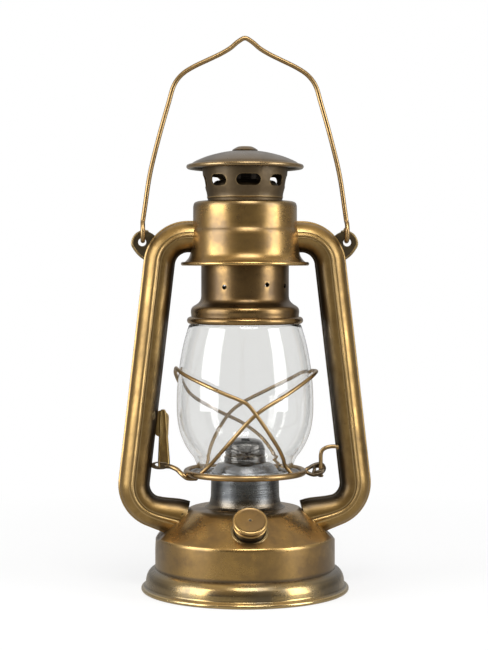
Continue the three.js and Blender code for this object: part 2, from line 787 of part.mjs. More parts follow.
// Spring between the hood's crown and the sleeve's flange, round the flue.
const springRadius = (flue.radius + upperRadius - hood.sheet) / 2;
const springFoot = sleeveTop + seam + spring.wire;
const springTop = hoodTop - hood.sheet - seam - spring.wire;
const springSteps = spring.turns * spring.stepsPerTurn;
const springPoints = Array.from({ length: springSteps + 1 }, (_, i) => {
  const turn = (2 * Math.PI * i) / spring.stepsPerTurn;
  const rise = springFoot + ((springTop - springFoot) * i) / springSteps;
  return [springRadius * Math.cos(turn), springRadius * Math.sin(turn), rise];
});
place("chimney_spring", "steel", wireAlong(springPoints, spring.wire, 1));

// Side tubes: front and back half shells along one route, crimped on Y = 0.
const entry = new THREE.Vector2(
  Math.cos(tube.entryTurn * degrees), -Math.sin(tube.entryTurn * degrees),
);
const seat = new THREE.Vector2(-fillerRadius, fillerHeight);
const lowerEnd = seat.clone().addScaledVector(entry, -tube.leg);
const lowerCentre = lowerEnd.clone().add(
  new THREE.Vector2(-entry.y, entry.x).multiplyScalar(tube.bend),
);
const upperCentre = new THREE.Vector2(-hood.lowerRadius - tube.run, tubeMouth - tube.bend);
const between = upperCentre.clone().sub(lowerCentre);
const tubeLean = Math.atan2(between.x, between.y);
// The X place of the left tube's centre line beside the globe, at a height.
function tubeCentreX(height) {
  const alongShare = (height - lowerCentre.y) / between.y;
  return lowerCentre.x + between.x * alongShare - tube.bend / Math.cos(tubeLean);
}
const upperTurns = bendShares.map((share) => share * (Math.PI / 2 - tubeLean));
const lowerSpan = Math.PI / 2 - tube.entryTurn * degrees + tubeLean;
const lowerTurns = bendShares.map((share) => share * lowerSpan);
const tubeRoute = [
  [0, tubeMouth],
  ...upperTurns.map((turn) => [
    upperCentre.x - tube.bend * Math.sin(turn),
    upperCentre.y + tube.bend * Math.cos(turn),
  ]),
  ...lowerTurns.map((turn) => [
    lowerCentre.x - tube.bend * Math.cos(turn - tubeLean),
    lowerCentre.y - tube.bend * Math.sin(turn - tubeLean),
  ]),
  [seat.x + entry.x * tube.leg, seat.y + entry.y * tube.leg],
];
// A ring of points round the tube's centre line at each point of the route, joined into a solid.
function alongTube(outline) {
  const corners = outline.map(([across, depth]) => new THREE.Vector2(across, depth));
  const section = THREE.ShapeUtils.area(corners) > 0 ? outline : [...outline].reverse();
  const places = tubeRoute.map(([x, z]) => new THREE.Vector2(x, z));
  const position = [];
  places.forEach((at, i) => {
    const back = i === 0 ? null : at.clone().sub(places[i - 1]).normalize();
    const ahead = i === places.length - 1 ? null : places[i + 1].clone().sub(at).normalize();
    const along = (back ?? ahead).clone().add(ahead ?? back).normalize();
    const miter = 1 / along.dot(ahead ?? back);
    for (const [across, depth] of section) {
      position.push(at.x - along.y * across * miter, depth, at.y + along.x * across * miter);
    }
  });
  const count = section.length;
  const index = [];
  for (let i = 0; i + 1 < places.length; i++) {
    for (let j = 0; j < count; j++) {
      const [a, b] = [i * count + j, i * count + ((j + 1) % count)];
      index.push(a, b, b + count, a, b + count, a + count);
    }
  }
  const flat = THREE.ShapeUtils.triangulateShape(section.map(([x, y]) => new THREE.Vector2(x, y)), []);
  const last = (places.length - 1) * count;
  for (const [a, b, c] of flat) {
    index.push(a, c, b, last + a, last + b, last + c);
  }
  const geometry = new THREE.BufferGeometry();
  geometry.setAttribute("position", new THREE.BufferAttribute(new Float32Array(position), 3));
  geometry.setIndex(index);
  return solidOf(geometry);
}
// Half of the tube's wall with a crimped lip on each edge; side is -1 in front and 1 behind.
function halfSection(side) {
  const parting = seam / 2;
  const lipEdge = parting + tube.lipThick;
  const start = Math.asin(lipEdge / tube.radius) / degrees;
  const outer = arc(0, 0, tube.radius, start, 180 - start, 6);
  const inner = arc(0, 0, tube.radius - tube.sheet, 180, 0, 4);
  inner[0][1] = parting;
  inner[inner.length - 1][1] = parting;
  const outline = [
    [tube.radius + tube.lip, parting],
    [tube.radius + tube.lip, lipEdge],
    ...outer,
    [-tube.radius - tube.lip, lipEdge],
    [-tube.radius - tube.lip, parting],
    ...inner,
  ];
  return outline.map(([x, y]) => [x, side * y]);
}
const hoodEnvelope = rod(hood.lowerRadius + seam, hoodFoot, hoodTop + overrun, ringSides);
const tubeBulk = tube.radius + tube.lip + seam;
const tubeEnvelope = alongTube(arc(0, 0, tubeBulk, 0, 330, 11));

// Lever pivots, guide wire and its hole, worked out before the tubes so that the tubes can be drilled.
const pinHeight = ringHeight - ring.wire - seam - lever.wire;
const pivotHeight = pinHeight + lever.lift / 2;
const crankBack = lever.lift * Math.cos((lever.swing / 2) * degrees);
const tubeInner = (height) => tubeCentreX(height) + (tube.radius + tube.lip) / Math.cos(tubeLean);
const pivotStart = tubeInner(pivotHeight) - tube.lip - tube.sheet - seam;
const leverX = tubeInner(pivotHeight + lever.length) + running + lever.thumbWidth / 2;
const crankX = leverX + lever.footWidth / 2 + lever.bend;
const pinEnd = -ring.radius + lever.reach;
const crankPoints = [
  [pivotStart, 0, pivotHeight],
  [leverX, 0, pivotHeight],
  [crankX - lever.bend, 0, pivotHeight],
  [crankX - lever.bend / 3, -lever.bend / 3, pivotHeight - lever.bend / 5],
  [crankX, -crankBack / 2, (pivotHeight + pinHeight) / 2],
  [crankX + lever.bend / 3, -crankBack + lever.bend / 3, pinHeight + lever.bend / 5],
  [crankX + lever.bend, -crankBack, pinHeight],
  [pinEnd, -crankBack, pinHeight],
];
const guideHeight = ringHeight + guide.rise;
const guideEnd = -tubeInner(guideHeight) + tube.lip + tube.sheet + seam;
const guidePoints = [
  [guideEnd, 0, guideHeight],
  [guideX + guide.bend, 0, guideHeight],
  [guideX + guide.bend / 3, 0, guideHeight - guide.bend / 3],
  [guideX, 0, guideHeight - guide.bend],
  [guideX, 0, ringHeight],
  [guideX, 0, ringHeight - guide.tail],
];
const crankWire = wireAlong(crankPoints, lever.wire);
const guideWire = wireAlong(guidePoints, guide.wire);
const guideHead = moved(
  rod(guide.head, -guide.wire, 0, 12), guideX, 0, ringHeight - guide.tail + seam,
);
place("crank_wire", "brass", crankWire);
place("globe_guide_wire", "brass", guideWire.add(guideHead));

const pivotDrill = rotated(rod(lever.wire + seam, 0, tube.radius, 10), 0, 90, 0);
const leftDrill = moved(pivotDrill, pivotStart - tube.sheet, 0, pivotHeight);
const guideDrill = rotated(rod(guide.wire + seam, 0, tube.radius, 10), 0, -90, 0);
const rightDrill = moved(guideDrill, guideEnd + tube.sheet, 0, guideHeight);
for (const [end, side] of [["front", -1], ["back", 1]]) {
  const bare = alongTube(halfSection(side)).subtract(hoodEnvelope).subtract(coneCutter);
  place(`left_tube_${end}`, "brass", bare.subtract(leftDrill));
  place(`right_tube_${end}`, "brass", mirrorX(bare).subtract(rightDrill));
}

// Lift lever: a tapered channel with a thumb piece, crimped round the crank wire by a barrel.
const leverFoot = pivotHeight;
const leverTop = pivotHeight + lever.length;
const channel = flatShape(
  [
    [-lever.footWidth / 2, leverFoot],
    [lever.footWidth / 2, leverFoot],
    [lever.headWidth / 2, leverTop - lever.headWidth / 4],
    [lever.headWidth / 4, leverTop],
    [-lever.headWidth / 4, leverTop],
    [-lever.headWidth / 2, leverTop - lever.headWidth / 4],
  ],
  lever.depth,
);
const groove = flatShape(
  [
    [-lever.footWidth / 2 + lever.edge, leverFoot - lever.barrel * 2],
    [lever.footWidth / 2 - lever.edge, leverFoot - lever.barrel * 2],
    [lever.headWidth / 2 - lever.edge, leverTop - lever.edge],
    [-lever.headWidth / 2 + lever.edge, leverTop - lever.edge],
  ],
  lever.groove * 2,
);
const thumbFoot = leverTop - lever.thumbHeight;
const thumb = flatShape(
  [
    [-lever.thumbWidth / 2, thumbFoot + lever.edge],
    [-lever.thumbWidth / 4, thumbFoot],
    [lever.thumbWidth / 4, thumbFoot],
    [lever.thumbWidth / 2, thumbFoot + lever.edge],
    [lever.thumbWidth / 2, leverTop - lever.edge * 2],
    [lever.thumbWidth / 4, leverTop - lever.edge],
    [-lever.thumbWidth / 4, leverTop - lever.edge],
    [-lever.thumbWidth / 2, leverTop - lever.edge * 2],
  ],
  lever.thumbThick,
);
const barrel = rotated(
  rod(lever.barrel, -lever.footWidth / 2, lever.footWidth / 2, 12), 0, 90, 0,
);
const leverBlank = channel
  .subtract(moved(groove, 0, -lever.depth / 2, 0))
  .add(moved(thumb, 0, lever.depth / 2 - lever.thumbThick / 2, 0))
  .add(moved(barrel, 0, 0, pivotHeight));
const wireBore = rotated(rod(lever.wire + seam, -lever.footWidth, lever.footWidth, 12), 0, 90, 0);
place("lift_lever", "brass", moved(leverBlank.subtract(moved(wireBore, 0, 0, pivotHeight)), leverX, 0, 0));

const catchHeight = leverTop - leverCatch.height;
const catchX = leverX - lever.thumbWidth / 2 + leverCatch.over - leverCatch.width / 2;
const catchY = -lever.depth / 2 - running - leverCatch.thick / 2;
const catchBlank = moved(
  block(leverCatch.width, leverCatch.thick, leverCatch.height), catchX, catchY, catchHeight,
);
place("lever_catch", "brass", catchBlank.subtract(tubeEnvelope));

// Bail: ears on the tubes' upper bends, and one wire with a hook through each ear.
const earAway = new THREE.Vector2(-Math.cos(ear.turn * degrees), Math.sin(ear.turn * degrees));
const earPlace = upperCentre.clone().addScaledVector(earAway, tube.bend + tube.radius + ear.out);
const earAcross = new THREE.Vector2(earAway.y, -earAway.x);
const earInner = earPlace.clone().addScaledVector(earAway, -ear.reach);
const earCorner = (from, width) => {
  const corner = from.clone().addScaledVector(earAcross, width);
  return [corner.x, corner.y];
};
const earDisc = rotated(rod(ear.radius, -ear.thick / 2, ear.thick / 2, 20), 90, 0, 0);
const earHole = rotated(rod(ear.hole, -overrun, overrun, 12), 90, 0, 0);
const earWeb = flatShape(
  [
    earCorner(earPlace, ear.radius),
    earCorner(earInner, ear.spread),
    earCorner(earInner, -ear.spread),
    earCorner(earPlace, -ear.radius),
  ],
  ear.thick,
);
const leftEar = moved(earDisc, earPlace.x, 0, earPlace.y)
  .add(earWeb)
  .subtract(tubeEnvelope)
  .subtract(moved(earHole, earPlace.x, 0, earPlace.y));
place("left_ear", "brass", leftEar);
place("right_ear", "brass", mirrorX(leftEar));

const hookRadius = (ear.radius - ear.hole) / 2 + bail.wire + seam * 2;
const pivotX = -earPlace.x;
const bailPivot = earPlace.y + bail.hookStand;
const hookTurns = [35, 0, -35, -70, -105, -140];
const hook = hookTurns.map((turn) => [
  pivotX,
  hookRadius * Math.cos(turn * degrees),
  bailPivot + hookRadius * Math.sin(turn * degrees),
]);
const shank = [
  [pivotX, -hookRadius, bailPivot],
  [pivotX, -hookRadius, bailPivot + hookRadius / 2],
];
const arch = bailArchShares.map(([widthShare, heightShare]) => [
  pivotX * widthShare, 0, bailPivot + bail.height * heightShare,
]);
const shankTop = [pivotX, -hookRadius / 2, bailPivot + hookRadius * bail.shankShare];
const rightSide = [...hook, ...shank, shankTop, ...arch];
const leftSide = rightSide.map(([x, y, z]) => [-x, y, z]).reverse();
const peak = [0, 0, bailPivot + bail.height];
place("bail", "brass", wireAlong([...rightSide, peak, ...leftSide], bail.wire));

export default lantern;
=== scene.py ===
"""The looks of the brass oil lantern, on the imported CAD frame.

Sizes are in millimetres until mesh() turns them into metres."""

import math

import bmesh
import bpy
from mathutils import Matrix, Vector


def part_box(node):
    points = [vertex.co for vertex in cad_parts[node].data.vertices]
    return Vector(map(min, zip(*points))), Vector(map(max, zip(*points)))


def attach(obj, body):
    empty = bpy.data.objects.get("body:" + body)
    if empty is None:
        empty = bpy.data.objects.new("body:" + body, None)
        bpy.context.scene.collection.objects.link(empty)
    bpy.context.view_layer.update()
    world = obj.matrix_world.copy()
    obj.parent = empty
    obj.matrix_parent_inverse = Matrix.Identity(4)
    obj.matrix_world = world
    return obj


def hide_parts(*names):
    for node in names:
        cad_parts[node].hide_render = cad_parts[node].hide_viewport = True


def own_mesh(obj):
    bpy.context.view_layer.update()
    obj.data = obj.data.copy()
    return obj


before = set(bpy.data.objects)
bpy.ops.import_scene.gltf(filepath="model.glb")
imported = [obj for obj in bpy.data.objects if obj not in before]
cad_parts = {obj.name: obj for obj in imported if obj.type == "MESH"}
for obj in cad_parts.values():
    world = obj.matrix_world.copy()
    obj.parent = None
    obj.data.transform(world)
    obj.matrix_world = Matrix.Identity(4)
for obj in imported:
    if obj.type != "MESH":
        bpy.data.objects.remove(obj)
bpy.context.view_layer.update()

MM = 0.001

# Heights of the stack and the main radii, as in the frame.
NECK_TOP, RING_HEIGHT = 66.1, 66.775
GLOBE_FOOT, GLOBE_HEIGHT, GLOBE_RADIUS = 66.8, 83.2, 38.5
BEAD_HEIGHT, SLEEVE_TOP = 152.4, 188.7
HOOD_TOP, VENT_TOP, CAP_RIM, RIVET_BASE = 219.2, 242.5, 238.566, 248.066
SHAFT_CENTRE = (5.0, 0, 56.1)
FILLER_CENTRE, FILLER_TILT = (0, -40.0, 39.4), 41.13


# ---- mesh helpers


def put(name, data):
    """An object of that name in the scene."""
    made = bpy.data.objects.new(name, data)
    bpy.context.scene.collection.objects.link(made)
    return made


def mesh(name, points, faces, sharp=42):
    """A mesh object from points in millimetres, smooth but for its sharp edges, with its worn edges stored."""
    data = bpy.data.meshes.new(name)
    data.from_pydata([Vector(p) * MM for p in points], [], faces)
    made = put(name, data)
    finish_mesh(made, sharp)
    store_wear(made)
    return made


def finish_mesh(made, sharp):
    work = bmesh.new()
    work.from_mesh(made.data)
    bmesh.ops.remove_doubles(work, verts=work.verts, dist=1e-7)
    bmesh.ops.recalc_face_normals(work, faces=work.faces)
    work.to_mesh(made.data)
    work.free()
    smooth(made.data, sharp)


def smooth(data, sharp):
    """Smooth shading, but for edges sharper than that many degrees."""
    data.polygons.foreach_set("use_smooth", [True] * len(data.polygons))
    data.set_sharp_from_angle(angle=math.radians(sharp))


def store_wear(made):
    """Stores how sharply the surface bulges at each vertex: 0 on plain walls, 1 on beads and rims."""
    data = made.data
    work = bmesh.new()
    work.from_mesh(data)
    work.normal_update()
    values = []
    for vert in work.verts:
        bend = 0.0
        for edge in vert.link_edges:
            step = vert.co - edge.other_vert(vert).co
            length = max(step.length, 1e-6)
            bend = max(bend, 2 * vert.normal.dot(step) / (length * length) * MM)
        values.append(min(max((bend - 0.12) / 0.5, 0.0), 1.0))
    work.free()
    old = data.attributes.get("wear")
    if old:
        data.attributes.remove(old)
    data.attributes.new("wear", "FLOAT", "POINT").data.foreach_set("value", values)


def stain_and_shade(made, level):
    """Stores how dark each vertex is, 0 to 1, with soot and tarnish and with painted shade: one number, a list or a
    function of the place.
    """
    vertices = made.data.vertices
    if callable(level):
        level = [level(vertex.co / MM) for vertex in vertices]
    elif not isinstance(level, list):
        level = [level] * len(vertices)
    attribute = made.data.attributes.get("tarnish") or made.data.attributes.new("tarnish", "FLOAT", "POINT")
    attribute.data.foreach_set("value", level)
    return made


def ease(value, low, high):
    """0 below low, 1 above high and smooth between."""
    share = min(max((value - low) / (high - low), 0.0), 1.0)
    return share * share * (3 - 2 * share)


def join(name, parts, sharp=42):
    """The parts as one object of that name."""
    work = bmesh.new()
    soot_and_shade = []
    for part in parts:
        work.from_mesh(part.data)
        kept = part.data.attributes.get("tarnish")
        soot_and_shade += [point.value for point in kept.data] if kept else [0.0] * len(part.data.vertices)
        bpy.data.objects.remove(part)
    data = bpy.data.meshes.new(name)
    work.to_mesh(data)
    work.free()
    made = put(name, data)
    smooth(data, sharp)
    if any(soot_and_shade):
        stain_and_shade(made, soot_and_shade)
    store_wear(made)
    return made


def change(made, move):
    """Moves each vertex by a function of its place, in millimetres."""
    for vert in made.data.vertices:
        vert.co = Vector(move(vert.co / MM)) * MM
    store_wear(made)
    return made


def squeezed(place, share):
    """A place whose distance from the Z axis is changed to a share of what it was."""
    return (place.x * share, place.y * share, place.z)


def carve(made, cutters):
    """Cuts the cutters out of the object."""
    cutter = join("cutter", cutters)
    modifier = made.modifiers.new("cut", "BOOLEAN")
    modifier.object = cutter
    modifier.operation = "DIFFERENCE"
    modifier.solver = "EXACT"
    graph = bpy.context.evaluated_depsgraph_get()
    data = bpy.data.meshes.new_from_object(made.evaluated_get(graph))
    made.modifiers.clear()
    made.data = data
    bpy.data.objects.remove(cutter)
    finish_mesh(made, 38)
    return made


def soften(points, cut=0.6, steps=4):
    """The outline with each inner corner turned into a short curve that starts cut away from it."""
    points = [Vector(p) for p in points]
    made = [points[0]]
    for before, here, after in zip(points, points[1:], points[2:]):
        back = min(cut, (before - here).length / 2.2)
        ahead = min(cut, (after - here).length / 2.2)
        start = here + (before - here).normalized() * back
        end = here + (after - here).normalized() * ahead
        for i in range(steps + 1):
            t = i / steps
            made.append(start * (1 - t) ** 2 + here * 2 * t * (1 - t) + end * t * t)
    made.append(points[-1])
    return [tuple(p) for p in made]


def offset(outline, thick):
    """The outline moved sideways by a thickness, to the left of the way it runs."""
    points = [Vector(p) for p in outline]
    sides = []
    for a, b in zip(points, points[1:]):
        along = (b - a).normalized()
        sides.append(Vector((-along.y, along.x)))
    made = []
    for i, point in enumerate(points):
        before, after = sides[max(i - 1, 0)], sides[min(i, len(sides) - 1)]
        mean = (before + after).normalized()
        made.append(tuple(point + mean * thick / max(mean.dot(before), 0.5)))
    return made


def arc(centre_x, centre_y, radius, start, end, steps):
    turns = [math.radians(start + (end - start) * i / steps) for i in range(steps + 1)]
    return [(centre_x + radius * math.cos(t), centre_y + radius * math.sin(t)) for t in turns]


def lathe(name, outline, sides=160, sharp=42, closed=True):
    """An outline of (radius, height) pairs turned about the Z axis."""
    points, faces = [], []
    count = len(outline)
    for i in range(sides):
        turn = 2 * math.pi * i / sides
        for radius, height in outline:
            radius = max(radius, 0.0)
            points.append((radius * math.cos(turn), radius * math.sin(turn), height))
    for i in range(sides):
        here, ahead = i * count, ((i + 1) % sides) * count
        for j in range(count if closed else count - 1):
            k = (j + 1) % count
            faces.append((here + j, ahead + j, ahead + k, here + k))
    return mesh(name, points, faces, sharp)


def sheet(name, outline, thick, sides=160):
    """A turned sheet of even thickness, to the left of the way its outline runs."""
    return lathe(name, outline + offset(outline, thick)[::-1], sides)


def drill(radius, foot, top, sides):
    """A cutter for a round hole."""
    return lathe("drill", [(0.0, foot), (radius, foot), (radius, top), (0.0, top)], sides)


def hoop(name, radius, height, wire, sides=160, around=20):
    return lathe(name, arc(radius, height, wire, 0, 360, around)[:-1], sides)


def spline(points, steps=8):
    """A centripetal Catmull-Rom curve through the points."""
    points = [Vector(p) for p in points]
    padded = [points[0] * 2 - points[1]] + points + [points[-1] * 2 - points[-2]]
    made = []
    for p0, p1, p2, p3 in zip(padded, padded[1:], padded[2:], padded[3:]):
        t1 = max((p1 - p0).length, 1e-6) ** 0.5
        t2 = t1 + max((p2 - p1).length, 1e-6) ** 0.5
        t3 = t2 + max((p3 - p2).length, 1e-6) ** 0.5
        for i in range(steps):
            t = t1 + (t2 - t1) * i / steps
            a1 = p0 * (t1 - t) / t1 + p1 * t / t1
            a2 = p1 * (t2 - t) / (t2 - t1) + p2 * (t - t1) / (t2 - t1)
            a3 = p2 * (t3 - t) / (t3 - t2) + p3 * (t - t2) / (t3 - t2)
            b1 = a1 * (t2 - t) / t2 + a2 * t / t2
            b2 = a2 * (t3 - t) / (t3 - t1) + a3 * (t - t1) / (t3 - t1)
            made.append(b1 * (t2 - t) / (t2 - t1) + b2 * (t - t1) / (t2 - t1))
    made.append(points[-1])
    return made


def curve(pairs, steps):
    """A smooth outline through (radius, height) or (x, z) pairs."""
    return [tuple(point) for point in spline(pairs, steps)]


def wire(name, points, radius, sides=14, steps=8):
    """A round wire along a smooth route, with rounded ends."""
    route = spline(points, steps) if steps else [Vector(p) for p in points]
    return sweep(name, route, arc(0, 0, radius, 0, 360, sides)[:-1], domed=radius)


def sweep(name, route, section, domed=0.0, up=None, sharp=42):
    """A closed section carried along a route without twisting."""
    tangents = []
    for i in range(len(route)):
        a, b = route[max(i - 1, 0)], route[min(i + 1, len(route) - 1)]
        tangents.append((b - a).normalized())
    normal = up or tangents[0].orthogonal().normalized()
    rings = []
    for at, tangent in zip(route, tangents):
        normal = (normal - tangent * normal.dot(tangent)).normalized()
        rings.append((at, normal.copy(), tangent.cross(normal), 1.0))
    if domed:
        first, last = rings[0], rings[-1]
        for reach, size in ((0.5, 0.87), (0.86, 0.5), (1.0, 0.12)):
            rings.insert(0, (first[0] - tangents[0] * domed * reach, first[1], first[2], size))
            rings.append((last[0] + tangents[-1] * domed * reach, last[1], last[2], size))
    rings = [[at + side * x * size + other * y * size for x, y in section] for at, side, other, size in rings]
    return loft(name, rings, sharp)


def loft(name, rings, sharp=50):
    """A closed solid through rings of as many points each."""
    faces = []
    count = len(rings[0])
    for i in range(len(rings) - 1):
        for j in range(count):
            k = (j + 1) % count
            faces.append((i * count + j, i * count + k, (i + 1) * count + k, (i + 1) * count + j))
    last = (len(rings) - 1) * count
    faces += [tuple(range(count))[::-1], tuple(range(last, last + count))]
    return mesh(name, [point for ring in rings for point in ring], faces, sharp)


def plate(name, outline, thick, holes=(), bevel=0.25):
    """A flat plate in the XZ plane, centred on Y = 0, with rounded edges and round holes."""
    data = bpy.data.curves.new(name, "CURVE")
    data.dimensions = "2D"
    data.fill_mode = "BOTH"
    for loop in [outline, *holes]:
        line = data.splines.new("POLY")
        line.points.add(len(loop) - 1)
        for point, (x, z) in zip(line.points, loop):
            point.co = (x * MM, z * MM, 0, 1)
        line.use_cyclic_u = True
    data.extrude = (thick / 2 - bevel) * MM
    data.bevel_depth = bevel * MM
    data.bevel_resolution = 2
    data.offset = -bevel * MM
    shape = put(name + "_outline", data)
    graph = bpy.context.evaluated_depsgraph_get()
    made_data = bpy.data.meshes.new_from_object(shape.evaluated_get(graph))
    bpy.data.objects.remove(shape)
    made_data.transform(Matrix.Rotation(math.radians(90), 4, "X"))
    made = put(name, made_data)
    finish_mesh(made, 30)
    store_wear(made)
    return made


def shifted(made, place, turn=0, axis="X"):
    """The object with its mesh turned by degrees about an axis and then moved, in millimetres."""
    made.data.transform(Matrix.Translation(Vector(place) * MM) @ Matrix.Rotation(math.radians(turn), 4, axis))
    return made


def mirrored(made, name):
    data = made.data.copy()
    data.transform(Matrix.Scale(-1, 4, (1, 0, 0)))
    data.flip_normals()
    return put(name, data)


# ---- materials


class Nodes:
    """A material or world's nodes, with short calls for the ones used here."""

    def __init__(self, owner):
        owner.use_nodes = True
        self.tree = owner.node_tree
        self.tree.nodes.clear()

    def add(self, kind, **values):
        """A node, with its settings or else its inputs given by name."""
        node = self.tree.nodes.new(kind)
        for key, value in values.items():
            if hasattr(node, key):
                setattr(node, key, value)
            else:
                self.feed(node.inputs[key.replace("_", " ").title()], value)
        return node

    def feed(self, socket, value):
        """Links a socket to another one, or sets its number or its colour."""
        if isinstance(value, bpy.types.NodeSocket):
            self.tree.links.new(value, socket)
        elif socket.type == "RGBA" and len(value) == 3:
            socket.default_value = (*value, 1)
        else:
            socket.default_value = value

    def place(self, stretch=(1, 1, 1)):
        where = self.add("ShaderNodeTexCoord").outputs["Object"]
        return self.add("ShaderNodeMapping", Vector=where, Scale=stretch).outputs[0]

    def noise(self, scale, detail=3.0, roughness=0.55, stretch=(1, 1, 1)):
        return self.add(
            "ShaderNodeTexNoise", Vector=self.place(stretch), Scale=scale, Detail=detail, Roughness=roughness
        ).outputs["Fac"]

    def spread(self, value, low, high, to_low=0.0, to_high=1.0):
        values = {"Value": value, "From_Min": low, "From_Max": high, "To_Min": to_low, "To_Max": to_high}
        return self.add("ShaderNodeMapRange", clamp=True, **values).outputs[0]

    def math(self, operation, a, b=0.0):
        node = self.add("ShaderNodeMath", operation=operation)
        for socket, value in zip(node.inputs, (a, b)):
            self.feed(socket, value)
        return node.outputs[0]

    def times(self, a, b):
        return self.math("MULTIPLY", a, b)

    def mix(self, share, a, b):
        node = self.add("ShaderNodeMix", data_type="RGBA")
        for index, value in ((0, share), (6, a), (7, b)):
            self.feed(node.inputs[index], value)
        return node.outputs[2]

    def blend(self, share, a, b):
        """Two shaders mixed."""
        node = self.add("ShaderNodeMixShader")
        for socket, value in zip(node.inputs, (share, a.outputs[0], b.outputs[0])):
            self.feed(socket, value)
        return node

    def bump(self, height, distance, strength=1.0, below=None):
        node = self.add("ShaderNodeBump", Strength=strength, Distance=distance, Height=height)
        if below:
            self.feed(node.inputs["Normal"], below)
        return node.outputs[0]

    def surface(self, colour, roughness, normal, **constants):
        shader = self.add("ShaderNodeBsdfPrincipled")
        for key, value in (("Base Color", colour), ("Roughness", roughness), ("Normal", normal)):
            self.feed(shader.inputs[key], value)
        for key, value in constants.items():
            shader.inputs[key].default_value = value
        self.add("ShaderNodeOutputMaterial", Surface=shader.outputs[0])

    def rays(self):
        """Whether a ray comes from the camera, straight or through glass, and whether it's a mirrored one."""
        ray = self.add("ShaderNodeLightPath").outputs
        through = ray["Is Transmission Ray"]
        seen = self.math("MAXIMUM", ray["Is Camera Ray"], through)
        return seen, self.times(ray["Is Glossy Ray"], self.math("SUBTRACT", 1.0, through))


def metal(name, bright, plain, dark, rough=(0.26, 0.42), tarnish=(0.42, 0.62), lines=None, low_reflection=None, coat=0.7):
    """Worn metal: patches of tarnish, dark pits, fine scratches and bright worn edges.

    lines stretches the scratches into turned rings; the low tint is a colour and the height that it tints up to, a
    painted reflection of nearby brass."""
    made = bpy.data.materials.new(name)
    n = Nodes(made)
    wear = n.add("ShaderNodeAttribute", attribute_name="wear").outputs["Fac"]
    # the stored darkening: soot and tarnish, and painted shade
    soot_and_shade = n.add("ShaderNodeAttribute", attribute_name="tarnish").outputs["Fac"]
    patches = n.math("MAXIMUM", n.spread(n.noise(34, 5.0, 0.62), *tarnish), soot_and_shade)
    mottle = n.spread(n.noise(160, 4.0, 0.7), 0.35, 0.7)
    grain = n.noise(900, 3.0, 0.6)
    pit_zones = n.spread(n.noise(60, 2.0, 0.5), 0.5, 0.62)
    pitted = n.times(n.spread(n.noise(420, 2.0, 0.5), 0.7, 0.76), pit_zones)
    layers = [
        (mottle, 0.35, dark), (wear, 0.5, bright), (pitted, 0.8, tuple(c * 0.25 for c in dark)),
        (soot_and_shade, 0.85, (0.02, 0.015, 0.01)),
    ]
    if low_reflection:
        colour, height = low_reflection
        where = n.add("ShaderNodeSeparateXYZ", Vector=n.place()).outputs[2]
        layers.append((n.spread(where, (height - 5) * MM, (height + 5) * MM, 1.0, 0.0), 0.85, colour))
    base = n.mix(patches, plain, dark)
    for share, strength, colour in layers:
        base = n.mix(n.times(share, strength), base, colour)
    scratches = n.noise(14, 6.0, 0.75, lines or (6, 6, 60))
    roughness = n.spread(patches, 0, 1, *rough)
    for share, middle, strength in ((mottle, 0.5, 0.08), (scratches, 0.5, 0.12), (wear, 0.0, -0.06)):
        roughness = n.math("ADD", roughness, n.times(n.math("SUBTRACT", share, middle), strength))
    normal = n.bump(n.noise(26, 2.0, 0.5), 0.0006, 0.25)
    if lines:
        base = n.mix(n.spread(scratches, 0.42, 0.62, 0.55, 0.0), base, dark)
    normal = n.bump(scratches, 0.00012, 1.0 if lines else 0.12, normal)
    normal = n.bump(grain, 0.00004, 0.5, normal)
    normal = n.bump(pitted, -0.0001, 0.6, normal)
    constants = {"Metallic": 1.0, "Coat Weight": coat, "Coat Roughness": 0.3, "Coat IOR": 1.75}
    n.surface(base, roughness, normal, **constants)
    return made


BRASS = metal("brass", (0.72, 0.48, 0.16), (0.47, 0.28, 0.062), (0.20, 0.115, 0.030))
TUBE_BRASS = metal(
    "tube_brass", (0.74, 0.53, 0.25), (0.46, 0.295, 0.10), (0.16, 0.095, 0.027), rough=(0.32, 0.46),
    tarnish=(0.42, 0.68), coat=0.25,
)
FOOT_BRASS = metal(
    "foot_brass", (0.74, 0.55, 0.24), (0.46, 0.31, 0.10), (0.17, 0.125, 0.06), rough=(0.2, 0.34), tarnish=(0.44, 0.6)
)
CHIMNEY_BRASS = metal(
    "chimney_brass", (0.46, 0.29, 0.105), (0.265, 0.158, 0.05), (0.11, 0.066, 0.025), rough=(0.27, 0.4), coat=0.3
)
CAP_BRASS = metal(
    "cap_brass", (0.42, 0.28, 0.11), (0.175, 0.118, 0.056), (0.10, 0.068, 0.034), rough=(0.3, 0.42), coat=0.6
)
CUP_BRASS = metal(
    "cup_brass", (0.40, 0.28, 0.13), (0.145, 0.105, 0.06), (0.08, 0.058, 0.033), rough=(0.5, 0.62), coat=0.1
)
LEVER_BRASS = metal(
    "lever_brass", (0.62, 0.43, 0.17), (0.42, 0.29, 0.10), (0.2, 0.125, 0.045), rough=(0.46, 0.58), coat=0.15
)
WIRE_BRASS = metal(
    "wire_brass", (0.58, 0.38, 0.15), (0.29, 0.18, 0.058), (0.12, 0.07, 0.024), rough=(0.3, 0.46),
    tarnish=(0.38, 0.6), coat=0.5,
)
# a near-black copy of brass for parts that sit in shade, the ears, the catch and the filler neck: its dark plain colour
# is painted shade
EAR_BRASS = metal(
    "ear_brass", (0.62, 0.45, 0.20), (0.085, 0.06, 0.028), (0.04, 0.03, 0.015), rough=(0.34, 0.5), coat=0.4
)
